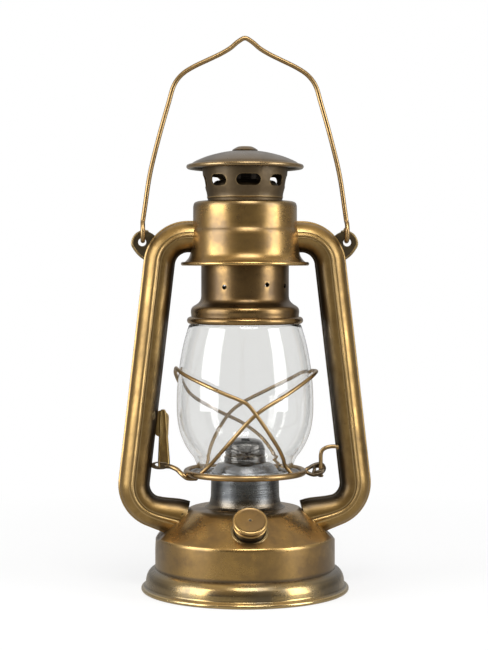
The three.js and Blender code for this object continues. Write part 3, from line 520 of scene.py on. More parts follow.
# its brass tint up to the neck's foot is a painted reflection of the tank
STEEL = metal(
    "steel", (0.40, 0.41, 0.42), (0.23, 0.24, 0.245), (0.07, 0.075, 0.082), rough=(0.24, 0.36),
    tarnish=(0.4, 0.7), lines=(1.2, 1.2, 110), low_reflection=((0.40, 0.28, 0.13), 48.5), coat=0.0,
)
BRIGHT_STEEL = metal(
    "bright_steel", (0.62, 0.63, 0.63), (0.42, 0.42, 0.42), (0.22, 0.225, 0.235), rough=(0.18, 0.3),
    lines=(1.2, 1.2, 120), coat=0.0,
)
DARK_STEEL = metal(
    "dark_steel", (0.26, 0.25, 0.24), (0.11, 0.105, 0.098), (0.04, 0.038, 0.035), rough=(0.25, 0.4),
    lines=(3, 3, 40), coat=0.3,
)
BLACKENED = metal(
    "blackened", (0.06, 0.05, 0.04), (0.03, 0.025, 0.02), (0.015, 0.012, 0.01), rough=(0.4, 0.55), coat=0.0
)


def glass_material():
    made = bpy.data.materials.new("clear_glass")
    n = Nodes(made)
    smear = n.spread(n.noise(40, 4.0, 0.6), 0.45, 0.75, 0.0, 0.05)
    normal = n.bump(n.noise(18, 1.0, 0.5, (1, 1, 0.5)), 0.0012, 0.12)
    constants = {"Transmission Weight": 1.0, "IOR": 1.47, "Specular IOR Level": 0.5}
    n.surface((0.873, 0.874, 0.866), smear, normal, **constants)
    return made


def cotton_material():
    made = bpy.data.materials.new("cotton")
    n = Nodes(made)
    weave = n.add("ShaderNodeTexWave", Vector=n.place(), Scale=900.0, Distortion=1.5).outputs["Fac"]
    char = n.spread(n.add("ShaderNodeSeparateXYZ", Vector=n.place()).outputs[2], 0.079, 0.0825)
    base = n.mix(n.times(weave, 0.4), (0.78, 0.73, 0.62), (0.55, 0.50, 0.40))
    base = n.mix(char, base, (0.03, 0.025, 0.02))
    n.surface(base, n.spread(weave, 0, 1, 0.85, 0.98), n.bump(weave, 0.0003, 0.8), **{"Sheen Weight": 0.3})
    return made


def rubber_material():
    made = bpy.data.materials.new("rubber")
    n = Nodes(made)
    grain = n.noise(500, 4.0, 0.6)
    base = n.mix(grain, (0.018, 0.015, 0.012), (0.05, 0.042, 0.035))
    n.surface(base, n.spread(grain, 0.3, 0.7, 0.6, 0.85), n.bump(grain, 0.0001, 0.6))
    return made


GLASS = glass_material()
COTTON = cotton_material()
RUBBER = rubber_material()


def dress(made, material, body, slot, *nodes):
    """Gives a finished piece its material and its body, and hides the CAD nodes that it stands for; slot is not used.
    """
    made.data.materials.clear()
    made.data.materials.append(material)
    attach(made, body)
    if nodes:
        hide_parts(*nodes)


# The solids of the frame that are shown as they are
for node, material in {
    "tank_bottom": BRASS, "wick_tube": BRIGHT_STEEL, "air_plate": STEEL, "wick": COTTON, "wick_shaft": STEEL,
    "star_wheel_front": STEEL, "star_wheel_rear": STEEL, "flue_tube": BLACKENED, "baffle": BLACKENED,
}.items():
    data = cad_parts[node].data
    data.materials.clear()
    data.materials.append(material)


# ---- foot and tank

foot_outline = soften(
    [(50.9, 12.9), (52.0, 12.5), (53.9, 11.2), (55.2, 9.3), (55.9, 7.0), (56.1, 4.8), (56.2, 3.2), (57.4, 2.5)], 0.9
)
foot_skirt = sheet("foot_skirt", foot_outline[::-1], 0.9, 192)
foot_rim = hoop("foot_rim", 57.4, 1.3, 1.3, 192)
# darker on the top lip where the tank stands on it, and painted shade towards the left and right sides
stain_and_shade(foot_skirt, lambda place: max(0.6 * ease(place.z, 11.8, 12.6), 0.45 * ease(abs(place.x), 34, 50)))
dress(join("foot", [foot_skirt, foot_rim]), FOOT_BRASS, "frame", "brass", "foot_ring")

CONE_SLOPE, SEAT_X, SEAT_PRESS = math.atan2(15.4, 17.5), 40.79, 1.25


def tank_seat(place):
    """Presses a flat seat into the tank's cone on each side, where the tubes end."""
    side = 1 if place.x > 0 else -1
    outward = Vector((side * math.sin(CONE_SLOPE), 0, math.cos(CONE_SLOPE)))
    depth = (place - Vector((side * SEAT_X, 0, 39.0))).dot(outward) + SEAT_PRESS
    return place - outward * depth if place.z > 28 and depth > 0 else place


tank_outline = soften(
    [(50.8, 3.0), (50.8, 13.2), (50.8, 15.0), (50.8, 22.0), (50.8, 30.5), (49.4, 31.8), (45.5, 35.0), (41.3, 38.6),
     (37.1, 42.1), (33.2, 45.2), (30.6, 46.5), (24.0, 46.8), (18.4, 46.8)], 1.5, 6,
)
tank = change(sheet("tank", tank_outline, 0.9, 256), tank_seat)
# darker at the foot of the wall above the foot ring, and painted shade towards the left and right sides
stain_and_shade(tank, lambda place: max(0.75 * (1 - ease(place.z, 13.2, 15.0)), 0.4 * ease(abs(place.x), 36, 50)))
dress(tank, BRASS, "frame", "brass", "tank_shell")

# ---- filler

pipe_outline = soften([(6.5, -4.0), (8.5, -4.0), (8.5, 0.2), (8.5, 3.6), (7.3, 4.0), (7.3, 6.1), (6.5, 6.1)], 0.25)
flange_outline = soften(
    [(7.0, -0.4), (10.3, -0.4), (10.2, 0.1), (9.4, 0.35), (8.4, 0.4), (7.0, 0.4), (7.0, -0.4)], 0.2
)
gasket_outline = soften([(5.8, 6.2), (7.5, 6.2), (7.5, 7.3), (5.8, 7.3), (5.8, 6.2)], 0.3)
# the pipe is stained black all over: painted shade of the threaded neck under the cap
filler_pipe = stain_and_shade(lathe("filler_pipe", pipe_outline, 72), 1.0)
filler_neck = join("filler_neck_pipe", [filler_pipe, lathe("filler_flange", flange_outline, 96)])
dress(shifted(filler_neck, FILLER_CENTRE, FILLER_TILT), EAR_BRASS, "frame", "brass", "filler_neck")
gasket = shifted(lathe("gasket_ring", gasket_outline, 72), FILLER_CENTRE, FILLER_TILT)
dress(gasket, RUBBER, "filler_seal", "rubber", "filler_gasket")
CAP_BASE = 7.9
cap_profile = [
    (7.75, 0), (7.75, -3.7), (9.1, -3.6), (9.45, -3.1), (9.2, -2.6), (8.3, -2.4), (8.3, -1.4), (9.2, -1.1), (9.6, -0.3),
    (9.4, 0.6), (8.6, 0.95), (8.1, 0.72), (7.4, 0.66), (5.5, 0.74), (3.2, 0.78), (1.6, 0.8), (0.75, 0.78), (0.62, 0.1),
    (0.0, 0.05),
]
cap_profile = soften([(r, CAP_BASE + z) for r, z in cap_profile], 0.4)


def square_vent(place):
    """Turns the rings round the middle of the disc into a square with its corners up, down and sideways."""
    share = min(max((2.6 - math.hypot(place.x, place.y)) / 1.6, 0.0), 1.0)
    if not share or place.z < CAP_BASE:
        return place
    turn = math.atan2(place.y, place.x)
    return squeezed(place, 1 - share + share * 1.17 / (abs(math.cos(turn)) + abs(math.sin(turn))))


def filler_cap_shade(place):
    """Painted shade in the vent at the middle of the disc and in the groove round the skirt."""
    radius = math.hypot(place.x, place.y)
    in_groove = 0.9 * (1 - ease(radius, 8.35, 8.7)) if radius > 7.9 and place.z < CAP_BASE - 1.2 else 0.0
    return max(1 - ease(radius, 0.8, 1.1), in_groove)


filler_cap = stain_and_shade(change(lathe("filler_cap_brass", cap_profile, 120, closed=False), square_vent), filler_cap_shade)
dress(shifted(filler_cap, FILLER_CENTRE, FILLER_TILT), BRASS, "filler_cap", "brass", "filler_cap")

# ---- neck and burner

neck_outline = soften(
    [(22.6, 46.9), (21.6, 47.3), (20.6, 48.4), (19.9, 50.2), (19.4, 53.0), (19.2, 60.0), (19.2, NECK_TOP - 0.1)], 0.8
)
neck = sheet("neck_walls", neck_outline, 0.8, 160)
neck = carve(neck, [shifted(drill(1.3, 0.0, 24.0, 24), SHAFT_CENTRE, -90)])
neck.name = "neck_collar"
dress(neck, STEEL, "frame", "steel", "burner_neck")

dome_outline = soften([
    (17.75, 61.6), (17.75, 66.3), (18.9, 66.4), (19.15, 66.9), (18.9, 67.5), (18.2, 68.3), (17.2, 69.9),
    (15.9, 71.5), (14.7, 72.5), (13.4, 73.0), (9.2, 73.05),
], 0.7)
dress(sheet("burner_top", dome_outline, 0.75, 160), BRIGHT_STEEL, "frame", "steel", "burner_dome")

cone_outline = soften(
    [(12.0, 73.45), (11.75, 74.4), (11.5, 75.2)] + [(11.5, 75.2 + 0.4 * i) for i in range(1, 20)]
    + [(11.2, 83.7), (10.4, 84.5), (8.8, 85.0), (6.5, 85.3), (3.0, 85.5), (0.0, 85.5)], 0.3, 2,
)


def cone_creases(place):
    """Folds the cone's wall along two zigzag creases that cross in front, at the sides and behind."""
    radius = math.hypot(place.x, place.y)
    if radius < 0.5:
        return place
    turn = math.degrees(math.atan2(place.y, place.x))
    from_cross = abs(((turn + 45) % 90) - 45) / 45
    up = (place.z - 75.2) / 8.5
    above, below = up - (0.33 + 0.30 * from_cross), (0.33 - 0.25 * from_cross) - up
    pressed = 1.9 * ease(above, 0, 0.8) + 1.1 * ease(below, 0, 0.35) * ease(up, 0.0, 0.1)
    pressed += 0.6 * (math.exp(-((above / 0.045) ** 2)) + math.exp(-((below / 0.045) ** 2))) * ease(up, 0.0, 0.1)
    pressed *= ease(radius, 2, 9)
    return squeezed(place, (radius - pressed) / radius)


cone_inner = [(max(r - 0.7, 0.0), z - (0.7 if z > 84 else 0.0)) for r, z in cone_outline]
cone = change(lathe("cone_walls", cone_outline + cone_inner[::-1], 192), cone_creases)
slot = [(-2.3, -7.8), (2.3, -7.8), (2.3, 7.8), (-2.3, 7.8)]
cone = carve(cone, [loft("slot_cutter", [[(x, y, z) for x, y in slot] for z in (82, 90)])])
cone.name = "burner_cone_shell"
stain_and_shade(cone, lambda place: 0.45 * ease(place.z, 80.5, 84.5))
dress(cone, DARK_STEEL, "frame", "dark_steel", "burner_cone")

# ---- wick raiser's knob

KNOB_FOOT = 26.2
knob_outline = [
    (1.25, -2.6), (2.5, -2.6), (2.5, -0.1), (5.6, 0), (6.7, 0.4), (7.1, 1.2), (7.1, 2.4), (6.7, 3.1), (5.6, 3.3),
    (4.9, 2.8), (2.0, 2.7), (0.0, 2.9),
]
knob_outline = soften([(r, KNOB_FOOT + z) for r, z in knob_outline], 0.35)


def knurl(place):
    """Cuts the knob's rim into teeth."""
    radius = math.hypot(place.x, place.y)
    if radius < 6.2:
        return place
    dip = 0.32 * (0.5 - 0.5 * math.cos(36 * math.atan2(place.y, place.x)))
    return squeezed(place, 1 - dip / radius)


knob = change(lathe("knob_disc", knob_outline, 216, closed=False), knurl)
dress(shifted(knob, SHAFT_CENTRE, -90), BRASS, "wick_raiser", "brass", "wick_knob")

# ---- globe, its seat and its guard

GLOBE_SHARES = [
    (0, 0.69), (0.05, 0.71), (0.1, 0.755), (0.14, 0.82), (0.19, 0.885), (0.28, 0.96), (0.38, 0.995), (0.5, 1),
    (0.62, 0.985), (0.75, 0.95), (0.88, 0.895), (1, 0.82),
]
globe_outline = curve([(GLOBE_RADIUS * r, GLOBE_FOOT + GLOBE_HEIGHT * h) for h, r in GLOBE_SHARES], 6)
inner_outline = offset(globe_outline, 1.4)
foot_radius, top_radius = [(globe_outline[i][0] + inner_outline[i][0]) / 2 for i in (0, -1)]
lip_top = arc(top_radius, GLOBE_FOOT + GLOBE_HEIGHT - 0.7, 0.7, 20, 160, 6)
lip_foot = arc(foot_radius, GLOBE_FOOT + 0.7, 0.7, 200, 340, 6)
globe = lathe("globe_glass", globe_outline[1:-1] + lip_top + inner_outline[1:-1][::-1] + lip_foot, 192, 80)
dress(globe, GLASS, "globe_carrier", "glass", "globe")


def between(table, height):
    """The width at a height, from a table of (height, width) pairs."""
    for (low, a), (high, b) in zip(table, table[1:]):
        if low <= height <= high:
            return a + (b - a) * (height - low) / (high - low)
    return table[-1][1]


# How high the guard wires run, by degrees round from their side: shares of the rise there.
RIGHT_FRONT = [
    (0, 0.97), (15, 0.96), (34, 0.906), (60, 0.775), (78, 0.66), (85, 0.6), (93, 0.505), (103, 0.37), (113, 0.255),
    (123, 0.165), (133, 0.09), (144, 0),
]
RIGHT_REAR = [(27, 0.94), (44, 0.865), (68, 0.735), (88, 0.61), (100, 0.5), (118, 0.25), (135, 0)]
LEFT_FRONT = [
    (0, 1), (15, 0.995), (34, 0.95), (58, 0.863), (72, 0.795), (82, 0.745), (88, 0.705), (94.5, 0.605), (101, 0.49),
    (108, 0.37), (116, 0.26), (126, 0.155), (133, 0.085), (140, 0),
]
LEFT_REAR = [(12, 0.93), (42, 0.71), (72, 0.515), (92, 0.39), (110, 0.24), (135, 0)]
GUARD_FOOT, GUARD_RISE, GUARD_FOOT_RADIUS, GUARD_LEAST_RADIUS, GUARD_GAP = 67.75, 57.5, 32.0, 30.5, 1.85


def guard_wire(name, node, side, front, rear, at_side, at_crossing):
    """A wire from its foot in front, across the globe, round one side and down behind.

    at_side and at_crossing are how far it stands out there beyond its touch with the globe."""
    turns = [(90 - d, s) for d, s in front][::-1] + [(90 + d, s) for d, s in rear]
    points = []
    for turn, share in turns:
        height = GUARD_FOOT + GUARD_RISE * share
        extra = at_side + (at_crossing - at_side) * ease(abs(turn - 90), 0, 65)
        radius = between([(h, r) for r, h in globe_outline], height) + GUARD_GAP + extra * min(share * 3, 1)
        radius = GUARD_FOOT_RADIUS if share == 0 else max(radius, GUARD_LEAST_RADIUS)
        angle = math.radians(turn)
        points.append((side * radius * math.sin(angle), -radius * math.cos(angle), height))
    dress(wire(name, points, 1.08, 14, 9), WIRE_BRASS, "globe_carrier", "brass", node)


guard_wire("guard_right", "guard_wire_right", 1, RIGHT_FRONT, RIGHT_REAR, 0.9, 0)
guard_wire("guard_left", "guard_wire_left", -1, LEFT_FRONT, LEFT_REAR, 0, 2.2)

GUIDE_X = 43.0
ring_loop = hoop("seat_hoop", 33.1, RING_HEIGHT, 1.72, 192, 20)
eye_loop = [
    (-9.1, -0.4, 0.0), (-7.2, -1.5, -1.1), (-4.4, -2.1, -2.0), (-1.6, -2.4, -1.5), (0.6, -2.0, -0.4), (1.9, -0.4, 1.2),
    (1.2, 1.7, 3.1), (-1.2, 2.3, 3.6), (-3.8, 2.1, 2.9), (-6.0, 1.6, 1.8), (-7.8, 0.9, 0.9), (-8.8, 0.5, 0.2),
]
eye_coil = [
    (-4.3, -1.3, -1.4), (-2.6, -2.2, -0.5), (-0.6, -2.4, 0.1), (1.5, -1.4, 0.8), (1.9, 0.6, 1.6), (0.4, 2.3, 2.2),
    (-2.0, 2.2, 2.3), (-3.5, 0.8, 1.8), (-3.7, -0.8, 0.6), (-4.2, -1.4, -0.8),
]
eye_wires = [
    wire(name, [(GUIDE_X + x, y, RING_HEIGHT + z) for x, y, z in points], thick, 12, 8)
    for name, points, thick in (("eye_loop", eye_loop, 1.1), ("eye_coil", eye_coil, 1.0))
]
for made in eye_wires:
    stain_and_shade(made, lambda place: 0.95 * ease(place.x, 34.0, 36.5))
tab_points = [(-32.4, -6.5, 0.2), (-33.3, -2.0, 0.9), (-33.4, 2.0, 0.9), (-32.4, 6.5, 0.2)]
ring_tab = stain_and_shade(wire("seat_tab", [(x, y, RING_HEIGHT + z) for x, y, z in tab_points], 0.85, 12, 6), 0.95)
dress(join("globe_seat_ring", [ring_loop, ring_tab] + eye_wires), WIRE_BRASS, "globe_carrier", "brass", "globe_ring")

plate_outline = soften([(31.1, 66.9), (30.4, 66.45), (27.6, 66.35), (26.8, 65.9), (20.4, 65.9), (19.8, 66.6)], 0.5)
drill_places = arc(0, 0, 23.6, 0, 345, 23)
seat_plate = sheet("seat_plate_disc", plate_outline, 0.5, 144)
seat_plate = carve(seat_plate, [shifted(drill(1.25, -3.0, 3.0, 14), (x, y, 66)) for x, y in drill_places])
seat_plate.name = "seat_plate"
dress(seat_plate, BRIGHT_STEEL, "globe_carrier", "steel", "globe_plate")

# ---- chimney

bell_outline = soften([
    (29.3, 150.6), (30.4, 152.4), (30.3, 155.0), (30.6, 157.2), (30.3, 159.0), (29.2, 160.3), (27.5, 161.2),
    (26.0, 162.4), (25.0, 163.9), (24.7, 165.8), (24.7, 176.0), (24.7, SLEEVE_TOP), (20.4, SLEEVE_TOP),
], 1.1, 5)
bell = sheet("bell_walls", bell_outline, 0.8, 192)
# soot on the inner face, whose points follow the outer face's in each ring
stain_and_shade(bell, [0.8 * (i // len(bell_outline) % 2) for i in range(len(bell.data.vertices))])
HOLE_TURNS, HOLE_HEIGHTS = (-31, 26, 60, 149, 206, 240), (171.1925, 172.475, 171.8) * 2
bell_drills, hole_shade_linings = [], []
for turn, height in zip(HOLE_TURNS, HOLE_HEIGHTS):
    # each hole is lined with a thin ring stained black: painted shade inside the hole
    edge = stain_and_shade(lathe("edge", [(1.28, 23.6), (1.42, 23.6), (1.42, 24.75), (1.28, 24.75)], 28), 1.0)
    for made, kept in ((drill(1.4, 20.0, 28.0, 28), bell_drills), (edge, hole_shade_linings)):
        kept.append(shifted(shifted(made, (0, 0, 0), 90), (0, 0, height), turn, "Z"))
bell = carve(bell, bell_drills)
bell = join("globe_bell_shell", [bell, hoop("bell_bead", 30.75, BEAD_HEIGHT - 0.1, 2.0, 192, 24)] + hole_shade_linings)
dress(bell, CHIMNEY_BRASS, "chimney", "dark_brass", "globe_bell")

# The spring is in two pieces, split by the chimney's share of the two lifts: the upper one stays on the frame, and
# the lower one rises with the globe.
SPRING_WIRE, SPRING_TURNS, GLOBE_RISE, CHIMNEY_RISE = 0.6, 4, 9.0, 13.0
spring_low, spring_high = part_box("chimney_spring")
spring_radius = spring_high[0] / MM - SPRING_WIRE
spring_foot, spring_top = spring_low[2] / MM, spring_high[2] / MM
spring_split = spring_foot + (spring_top - spring_foot) * CHIMNEY_RISE / (GLOBE_RISE + CHIMNEY_RISE)


def spring_piece(name, foot, top, body, joint, *nodes):
    """The coils between two heights; joint is not used."""
    coil_foot, coil_top = spring_foot + SPRING_WIRE, spring_top - SPRING_WIRE
    points = []
    for i in range(SPRING_TURNS * 12 + 1):
        height = coil_foot + (coil_top - coil_foot) * i / (SPRING_TURNS * 12)
        turn = math.radians(30 * i)
        if foot - 0.3 <= height <= top + 0.3:
            points.append((spring_radius * math.cos(turn), spring_radius * math.sin(turn), height))
    piece = wire(name, points, SPRING_WIRE, 10, 3)
    dress(piece, STEEL, body, "steel", *nodes)
    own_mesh(piece)


spring_piece("spring_upper", spring_split, spring_top, "frame", "globe_lift", "chimney_spring")
spring_piece("spring_lower", spring_foot, spring_split, "globe_carrier", "chimney_lift")

vent_outline = soften([
    (21.0, 216.3), (21.0, 219.3), (21.0, 220.6), (21.45, 221.2), (21.25, 222.0), (21.5, 223.6), (22.3, 226.6),
    (23.1, 229.9), (23.7, 233.6), (24.0, 237.0), (24.0, VENT_TOP),
], 0.8, 4)
vent = sheet("vent_walls", vent_outline, 0.8, 192)
slots = []
for i in range(8):
    reach = (3.6, 2.2)[i % 2]
    stadium = arc(reach, 0, 3.2, -90, 90, 14) + arc(-reach, 0, 3.2, 90, 270, 14)
    cutter = loft("slot", [[(x, y, z + 230.4) for x, z in stadium] for y in (-27.0, -17.0)])
    slots.append(shifted(cutter, (0, 0, 0), 45 * i + 1.5, "Z"))
# dark along the cup's top: painted shadow of the cap
vent = stain_and_shade(carve(vent, slots), lambda place: 0.95 * ease(place.z, VENT_TOP - 2.6, VENT_TOP - 1.4))
# a cone inside the cup, stained dark: painted shade seen through the slots
shade_outline = soften([(20.0, 219.6), (19.4, 225.0), (18.6, 228.4), (16.6, 230.6), (9.0, 231.4)], 0.8)
shade = stain_and_shade(sheet("vent_shade", shade_outline, 0.6, 96), 0.8)
dress(join("vent_cup_shell", [vent, shade]), CUP_BRASS, "chimney", "dark_brass", "vent_cup")

cap_dome = [
    (31.7, 0.2), (30.6, 1.3), (29.0, 2.5), (25.5, 4.2), (21.0, 5.9), (15.5, 7.4), (10.5, 8.4), (5.0, 8.95), (0.0, 9.15),
]
cap_outline = curve([(r, CAP_RIM + z) for r, z in cap_dome], 7)
cap_sheet = lathe("cap_sheet", cap_outline + offset(cap_outline, 0.8)[::-1], 192)
cap_bead = hoop("cap_bead", 31.7, CAP_RIM, 1.3, 192, 20)


def cap_underside_shade(place):
    """Painted shade under the dome and on the bead's inner side."""
    radius = math.hypot(place.x, place.y)
    above = max((z for r, z in cap_outline if r >= radius - 0.5), default=CAP_RIM)
    under = place.z < CAP_RIM - 0.35 and radius < 32.3
    return 1.0 if under or (place.z < above - 0.45 and radius < 31.6) else 0.0


cap = join("cap_dome", [stain_and_shade(cap_sheet, cap_underside_shade), stain_and_shade(cap_bead, cap_underside_shade)])
dress(cap, CAP_BRASS, "chimney", "dark_brass", "cap")

rivet_outline = [
    (7.3, -0.15), (6.9, 0.15), (6.0, 0.75), (4.9, 1.35), (3.9, 1.78), (3.0, 1.9), (2.2, 1.62), (1.2, 1.35), (0.0, 1.3),
]
rivet_outline = [(r, z + RIVET_BASE) for r, z in curve(rivet_outline, 5) + [(0.0, -0.3), (7.2, -0.3)]]
rivet = lathe("cap_button", rivet_outline, 96)
# the outer slope is stained darker: painted shade below the rivet's lit top
stain_and_shade(rivet, lambda place: 0.55 * ease(math.hypot(place.x, place.y), 3.6, 5.2))
dress(rivet, BRASS, "chimney", "brass", "cap_rivet")

# ---- hood

hood_outline = soften([
    (35.5, 184.0), (34.4, 184.8), (32.9, 186.0), (31.6, 187.6), (30.8, 189.6), (30.5, 192.0), (30.5, 196.0),
    (30.47, 200.2), (30.25, 201.7), (29.88, 202.9), (29.45, 204.0), (29.24, 205.8), (29.2, 210.0), (29.2, 216.6),
    (28.5, 218.5), (26.6, HOOD_TOP), (21.6, HOOD_TOP),
], 1.0, 5)
hood = join("hood_shell", [sheet("hood_walls", hood_outline, 0.8, 224), hoop("hood_rim", 35.1, 184.1, 1.05, 224, 18)])
# darker along the seam, as patina and as painted shade that dims its highlight, and painted shade over the top edge and
# the top
stain_and_shade(hood, lambda place: 0.3 * math.exp(-(((place.z - 203.2) / 1.4) ** 2)) + 0.5 * ease(place.z, 215.2, 217.0))
dress(hood, BRASS, "frame", "brass", "hood")

# ---- side tubes

TUBE_RADIUS, TUBE_SIDES, TUBE_TOP, TUBE_FLARE = 8.45, 216, 199.1, 4.4
BEND, ENTRY_ANGLE = 16.1, 22
entry = Vector((math.cos(math.radians(ENTRY_ANGLE)), -math.sin(math.radians(ENTRY_ANGLE))))
seat = Vector((-SEAT_X, 40.3))
lower_centre = seat - entry * 12.5 + Vector((-entry.y, entry.x)) * BEND
upper_centre = Vector((-32.0, TUBE_TOP - BEND))
tube_lean = math.atan2((upper_centre - lower_centre).x, (upper_centre - lower_centre).y)
straight_at = 180 - math.degrees(tube_lean)
upper_bend = arc(*upper_centre, BEND, 90, straight_at, 24)
lower_bend = arc(*lower_centre, BEND, straight_at, 270 - ENTRY_ANGLE, 24)


def straight(start, end, steps):
    """Points on a straight line, without its start."""
    return [Vector(start).lerp(Vector(end), i / steps) for i in range(1, steps + 1)]


route = [(x, TUBE_TOP) for x in (-26.0, -28.0, -30.0)] + upper_bend + straight(upper_bend[-1], lower_bend[0], 30)
route += lower_bend[1:] + straight(lower_bend[-1], seat + entry * 7, 6)
route = [Vector((x, 0, z)) for x, z in route]


def tube_section():
    """Round wall with a crimped lip at each edge and a pressed crease along the front and the back."""
    section = []
    for i in range(TUBE_SIDES):
        turn = 360 * i / TUBE_SIDES
        reach = TUBE_RADIUS
        for edge in (0, 180, 360):
            away = abs(turn - edge) * math.radians(1) * TUBE_RADIUS
            lip = 0.7 if edge == 180 else 0.2
            reach += lip * math.exp(-(((away - 0.65) / 0.5) ** 2)) - 0.3 * math.exp(-(((away - 1.75) / 0.42) ** 2))
        for crease in (97, 263):
            away = (turn - crease) * math.radians(1) * TUBE_RADIUS
            reach += 0.34 * math.exp(-((away / 0.42) ** 2)) - 0.2 * math.exp(-(((abs(away) - 1.0) / 0.42) ** 2))
        section.append((reach * math.cos(math.radians(turn)), reach * math.sin(math.radians(turn))))
    return section


def dress_tube(made, low, high, *nodes):
    """Paints shade along a tube's inner edge, next to the globe, and in the groove by the crease and the one by the
    outer lip, and dresses it.
    """
    levels = []
    for i in range(len(made.data.vertices)):
        turn = 360 * (i % TUBE_SIDES) / TUBE_SIDES
        turn = min(turn, 360 - turn)
        grooves = 0.5 * math.exp(-(((turn - 89) / 3.5) ** 2)) + 0.75 * math.exp(-(((turn - 166) / 4.0) ** 2))
        levels.append(max(1 - ease(turn, low, high), grooves))
    dress(stain_and_shade(made, levels), TUBE_BRASS, "frame", "brass", *nodes)


left_tube = sweep("left_tube", route, tube_section(), up=Vector((0, 0, -1)), sharp=60)
for vertex in left_tube.data.vertices:
    # the foot of the tube flares upward where it lands on the tank's shoulder
    place = vertex.co / MM
    if place.z < 75:
        across = (place.x - seat.x) * -entry.y + (place.z - seat.y) * entry.x
        inner_share = min(max(across / TUBE_RADIUS + 1, 0), 2) / 2
        vertex.co.z += TUBE_FLARE * MM * inner_share * ease(place.x, -52.0, -31.0)
right_tube = mirrored(left_tube, "right_tube")
dress_tube(left_tube, 30, 74, "left_tube_front", "left_tube_back")
dress_tube(right_tube, 32, 86, "right_tube_front", "right_tube_back")

# ---- lever, crank wire and guide wire

PIVOT_HEIGHT, LEVER_X, LEVER_LENGTH = 68.475, -45.8, 33.6


def tube_inner(height):
    """Where the left tube's inner edge is at a height."""
    share = (height - lower_centre.y) / (upper_centre - lower_centre).y
    centre = lower_centre.x + (upper_centre - lower_centre).x * share - BEND / math.cos(tube_lean)
    return centre + (TUBE_RADIUS + 0.2) / math.cos(tube_lean)


crank_back = 9 * math.cos(math.radians(30))
crank_points = [
    (1.2, -0.5, 1.6), (3.4, -1.1, 1.5), (5.4, -2.4, 0.9), (7.4, -4.0, 0.0), (9.3, -6.3, -1.6), (11.0, -7.6, -3.0),
    (12.6, -7.9, -4.1), (14.6, -crank_back, -4.5), (17.7, -crank_back, -4.5),
]
crank_arm = wire("crank_arm", [(LEVER_X + x, y, PIVOT_HEIGHT + z) for x, y, z in crank_points], 1.35, 14, 8)
pivot_left = tube_inner(PIVOT_HEIGHT) - LEVER_X - 0.7
pivot_middle = (pivot_left + 3.4) / 2
pivot_outline = [
    (pivot_middle + (3.4 - pivot_middle) * x * (1 + 0.05 * z), 2.0 + 2.2 * z) for x, z in arc(0, 0, 1, 0, 351, 39)
]
pivot_hole = [(-3.4 + 1.6 * x, 2.6 + 0.85 * z) for x, z in arc(0, 0, 1, 0, 345, 23)]
pivot_eye = shifted(plate("pivot_eye", pivot_outline, 1.9, [pivot_hole], 0.5), (LEVER_X, 0, PIVOT_HEIGHT))
stain_and_shade(pivot_eye, 0.9)
stain_and_shade(
    crank_arm, lambda place: 0.85 * (1 - ease(place.x - LEVER_X, 2.5, 6)) + 0.6 * ease(place.x - LEVER_X, 10.5, 13)
)
dress(join("crank", [crank_arm, pivot_eye]), WIRE_BRASS, "lift_lever", "brass", "crank_wire")


def lever_section(width, lip):
    """A shallow channel, open to the front, whose edges stand up as rounded beads."""
    half = width / 2
    return [
        (-half, 1.0), (-half - 0.12, -lip * 0.4), (-half + 0.1, -lip), (-half + 0.55, -lip - 0.28), (-half + 1.0, -lip),
        (-half + 1.15, -lip * 0.5), (-half + 1.6, -0.25), (-0.3, 0.1), (half - 1.5, 0.25), (half - 1.15, -lip * 0.3),
        (half - 1.0, -lip), (half - 0.55, -lip - 0.28), (half - 0.1, -lip), (half + 0.12, -lip * 0.4), (half, 1.0),
        (half - 0.5, 1.35), (0, 1.5), (-half + 0.5, 1.35),
    ]


lever_rings = []
for i in range(31):
    share = i / 30
    height = PIVOT_HEIGHT + 1.2 + (LEVER_LENGTH - 1.2) * share
    width = 6.9 - 3.5 * share
    lip = 0.95 - 0.25 * share
    if share > 0.93:
        width *= math.cos((share - 0.93) / 0.07 * 1.0)
        lip *= 1 - (share - 0.93) / 0.07 * 0.6
    if share < 0.08:
        width *= 0.9 + 0.1 * share / 0.08
    lever_rings.append([(LEVER_X - 0.5 * share + x, y - 0.1, height) for x, y in lever_section(width, lip)])
# the channel's floor is a little darker, less so towards the top: painted shade in its hollow
channel = stain_and_shade(
    loft("lever_channel", lever_rings),
    lambda place: 0.15 * ease(place.y, -0.7, 0.2) * (1 - ease(place.z, PIVOT_HEIGHT + 16, PIVOT_HEIGHT + 34)),
)


THUMB_LEFT = [
    (18.2, -2.7), (18.7, -3.9), (19.4, -4.75), (20.4, -4.9), (25.2, -4.3), (31.6, -3.9), (32.5, -3.5), (33.0, -2.6),
]
THUMB_RIGHT = [(18.2, 2.3), (19.4, 2.5), (28.6, 2.9), (30.2, 2.7), (31.4, 1.9), (32.1, 0.9), (33.0, 0.2)]
thumb_rings = []
for i in range(41):
    height = 18.2 + 14.8 * i / 40
    left, right = between(THUMB_LEFT, height), between(THUMB_RIGHT, height)
    across = [left + (right - left) * j / 16 for j in range(17)]
    bend = [0.35 + 0.55 * max(x - 0.6, 0) + 0.2 * max(-3.0 - x, 0) for x in across]
    front, back = [
        [(LEVER_X + x, y + thick, PIVOT_HEIGHT + height) for x, y in zip(across, bend)] for thick in (0, 0.85)
    ]
    thumb_rings.append(front + back[::-1])
# darker on its right part: painted shade on the side turned from the light
thumb = stain_and_shade(loft("thumb", thumb_rings), lambda place: 0.2 * ease(place.x, LEVER_X + 0.5, LEVER_X + 2.0))
lever = join("lever", [channel, thumb], 40)
dress(lever, LEVER_BRASS, "lift_lever", "brass", "lift_lever")

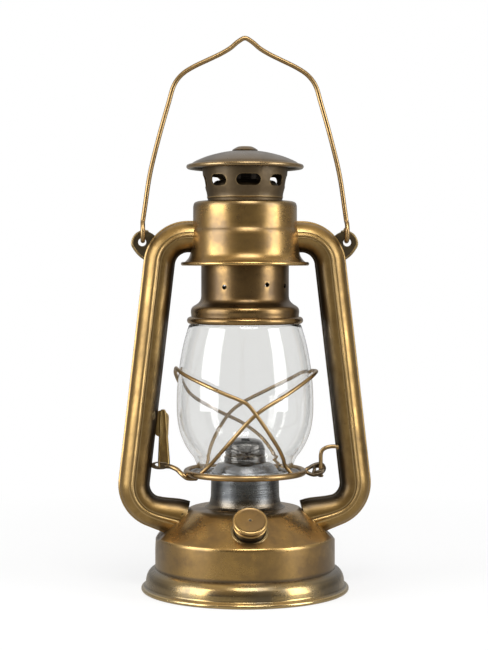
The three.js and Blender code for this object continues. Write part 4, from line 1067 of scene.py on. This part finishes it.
catch_outline = [
    (-7.0, 28.2), (-5.6, 27.9), (-4.2, 28.6), (-3.9, 30.0), (-4.0, 32.4), (-4.6, 33.4), (-6.2, 33.2), (-6.9, 31.6),
]
catch_outline = soften(catch_outline, 0.7)
catch_plate = plate("catch_plate", catch_outline[:-1], 1.0)
boss_outline = soften([(0, -1.0), (1.1, -0.9), (1.3, 0.2), (0.7, 0.7), (0, 0.8)], 0.3)
catch_boss = shifted(lathe("catch_boss", boss_outline, 24, closed=False), (-5.4, -0.4, 31.0), 90)
catch = shifted(join("catch", [catch_plate, catch_boss]), (LEVER_X - 1.0, -5.4, PIVOT_HEIGHT))
dress(stain_and_shade(catch, 0.45), EAR_BRASS, "frame", "brass", "lever_catch")

guide_left = -tube_inner(RING_HEIGHT + 14.2) - GUIDE_X
guide_points = [
    (guide_left + 1.2, -0.6, 13.9), (5.8, 0, 13.8), (2.9, 0, 13.1), (0.9, 0, 11.7), (0.1, 0, 9.6), (0, 0, 6.0),
    (0, 0, 1.0), (0, 0, -2.2),
]
guide_wire = wire("guide_leg", guide_points, 1.15, 14, 8)
head_outline = soften([(0, -3.5), (1.2, -3.5), (1.6, -3.0), (1.5, -2.4), (0.9, -2.1), (0, -2.1)], 0.3)
guide_head = stain_and_shade(lathe("guide_head", head_outline, 40, closed=False), 0.8)
ball = lathe("guide_ball", arc(0, 0, 1.4, 90, -90, 15), 28, closed=False)
guide = join("guide_wire", [guide_wire, guide_head, shifted(ball, (guide_left + 0.9, -3.0, 13.8))])
dress(shifted(guide, (GUIDE_X, 0, RING_HEIGHT)), WIRE_BRASS, "frame", "brass", "globe_guide_wire")

# ---- ears and bail

EAR_ANGLE, EAR_REACH = math.radians(28), 28.8
ear_place = upper_centre + Vector((-math.cos(EAR_ANGLE), math.sin(EAR_ANGLE))) * EAR_REACH
EAR_SHAPE = [
    (7.7, 3.2), (5.3, 5.0), (2.9, 6.0), (1.2, 6.2), (-0.5, 5.9), (-3.6, 4.0), (-5.3, 1.0), (-5.5, -1.4), (-4.4, -3.6),
    (-2.2, -6.5), (0.7, -8.9), (3.6, -10.4), (6.4, -8.0),
]
hole_x, hole_z = ear_place.x - 0.35, ear_place.y - 0.3
ear_outline = curve([(hole_x + x, hole_z + z) for x, z in EAR_SHAPE], 5)
ear_plate = plate("ear_plate", ear_outline, 1.0, [arc(hole_x, hole_z, 2.4, 0, 360, 32)[:-1]])
ear_rim = wire("ear_rim", [(x, -0.15, z) for x, z in ear_outline[10:52]], 0.75, 12, 0)
hole_rim = sweep(
    "hole_rim", [Vector((x, 0, z)) for x, z in arc(hole_x, hole_z, 2.75, 0, 360, 32)], arc(0, 0, 0.5, 0, 360, 10)[:-1]
)
# the ear plate and the ring round its hole are stained near-black, and the rolled rim darker towards the lantern's
# middle: painted shade of the dished ear
stain_and_shade(ear_plate, 0.95)
stain_and_shade(hole_rim, 0.9)
stain_and_shade(ear_rim, lambda place: 0.6 * ease(place.x - hole_x, -4.0, 1.0))
left_ear = join("left_ear_plate", [ear_plate, ear_rim, hole_rim], 40)
right_ear = mirrored(left_ear, "right_ear_plate")
dress(left_ear, EAR_BRASS, "frame", "brass", "left_ear")
dress(right_ear, EAR_BRASS, "frame", "brass", "right_ear")

HOOK_RADIUS, BAIL_RISE = 4.15, 109.5
bail_x, bail_pivot = -ear_place.x, ear_place.y + 4.5
ARCH = [
    (1, 0.06), (0.983, 0.12), (0.929, 0.304), (0.843, 0.489), (0.743, 0.674), (0.7, 0.75), (0.66, 0.787), (0.6, 0.82),
    (0.5, 0.853), (0.353, 0.89), (0.235, 0.92), (0.143, 0.949), (0.07, 0.981),
]
hook = arc(0, bail_pivot, HOOK_RADIUS, 35, -140, 5) + [
    (-HOOK_RADIUS, bail_pivot), (-HOOK_RADIUS, bail_pivot + HOOK_RADIUS / 2),
    (-HOOK_RADIUS / 2, bail_pivot + HOOK_RADIUS * 1.4),
]
right_side = [(bail_x, y, z) for y, z in hook] + [(bail_x * w, 0, bail_pivot + BAIL_RISE * h) for w, h in ARCH]
left_side = [(-x, y, z) for x, y, z in right_side][::-1]
bail = wire("bail_wire", right_side + [(0, 0, bail_pivot + BAIL_RISE)] + left_side, 1.32, 14, 8)
dress(bail, WIRE_BRASS, "bail", "brass", "bail")

# ---- floor, light and camera


def floor_material():
    """White all round, as in the photo, and darker where the metal mirrors it."""
    made = bpy.data.materials.new("floor")
    n = Nodes(made)
    seen, reflected = n.rays()
    where = n.add("ShaderNodeVectorMath", operation="LENGTH")
    n.feed(where.inputs[0], n.place((1, 1, 0)))
    share = n.spread(where.outputs["Value"], 0.12, 0.42, 0.72, 1.0)
    plain = n.add("ShaderNodeBsdfDiffuse", Color=(0.86, 0.86, 0.855))
    white = n.add("ShaderNodeEmission", Color=(1, 1, 1))
    mirrored_floor = n.add("ShaderNodeEmission", Color=(0.34, 0.31, 0.26))
    shown = n.blend(n.times(reflected, 0.8), n.blend(n.times(share, seen), plain, white), mirrored_floor)
    n.add("ShaderNodeOutputMaterial", Surface=shown.outputs[0])
    return made


FLOOR_RADIUS = 4200
floor = mesh("floor", [(x, y, -0.05) for x, y in arc(0, 0, FLOOR_RADIUS, 0, 360, 64)[:-1]], [tuple(range(64))])
floor.data.materials.append(floor_material())

world = bpy.data.worlds.new("studio")
bpy.context.scene.world = world
n = Nodes(world)
seen, reflected = n.rays()
split = n.add("ShaderNodeSeparateXYZ", Vector=n.add("ShaderNodeTexCoord").outputs["Generated"]).outputs
rear = n.spread(split[1], -0.75, 0.9)
glossy = n.math("ADD", n.spread(split[1], -0.75, 0.9, 0.055, 0.32), n.spread(split[2], 0.1, 0.9, 0.0, 0.5))
PLAIN_LEVEL = 0.55
level = n.math("ADD", n.times(reflected, n.math("SUBTRACT", glossy, PLAIN_LEVEL)), PLAIN_LEVEL)
level = n.math("ADD", n.times(seen, n.math("SUBTRACT", 1.0, level)), level)
warm = n.mix(n.times(reflected, n.math("SUBTRACT", 1.0, rear)), (1.0, 1.0, 1.0), (1.0, 0.78, 0.42))
background = n.add("ShaderNodeBackground", Color=warm, Strength=level)
n.add("ShaderNodeOutputWorld", Surface=background.outputs[0])


def softbox(name, azimuth, height, distance, width, tall, power):
    """A soft light that faces the lantern's middle, at an azimuth in degrees from the front, positive to the right."""
    data = bpy.data.lights.new(name, "AREA")
    data.shape = "RECTANGLE"
    data.size, data.size_y = width, tall
    data.energy = power
    light = put(name, data)
    turn = math.radians(azimuth)
    light.location = (distance * math.sin(turn), -distance * math.cos(turn), height)
    aim = Vector((0, 0, 0.14)) - light.location
    light.rotation_euler = aim.to_track_quat("-Z", "Y").to_euler()


softbox("left_box", -66, 0.28, 0.95, 0.62, 1.0, 9.5)
softbox("right_box", 60, 0.28, 0.95, 0.42, 1.0, 7.0)
softbox("top_box", 6, 0.88, 0.62, 0.5, 0.4, 4.5)

camera_data = bpy.data.cameras.new("camera")
camera_data.sensor_width = 36
camera_data.lens = 90.7
camera_data.shift_x = -0.0016
camera_data.shift_y = 0.0015
camera = put("camera", camera_data)
swing, away, camera_height, look_down = math.radians(-3.5), 0.923, 0.18, 1.92
camera.location = (away * math.sin(swing), -away * math.cos(swing), camera_height)
camera.rotation_euler = (math.radians(90 - look_down), 0, swing)
bpy.context.scene.camera = camera
bpy.context.scene.view_settings.view_transform = "Standard"
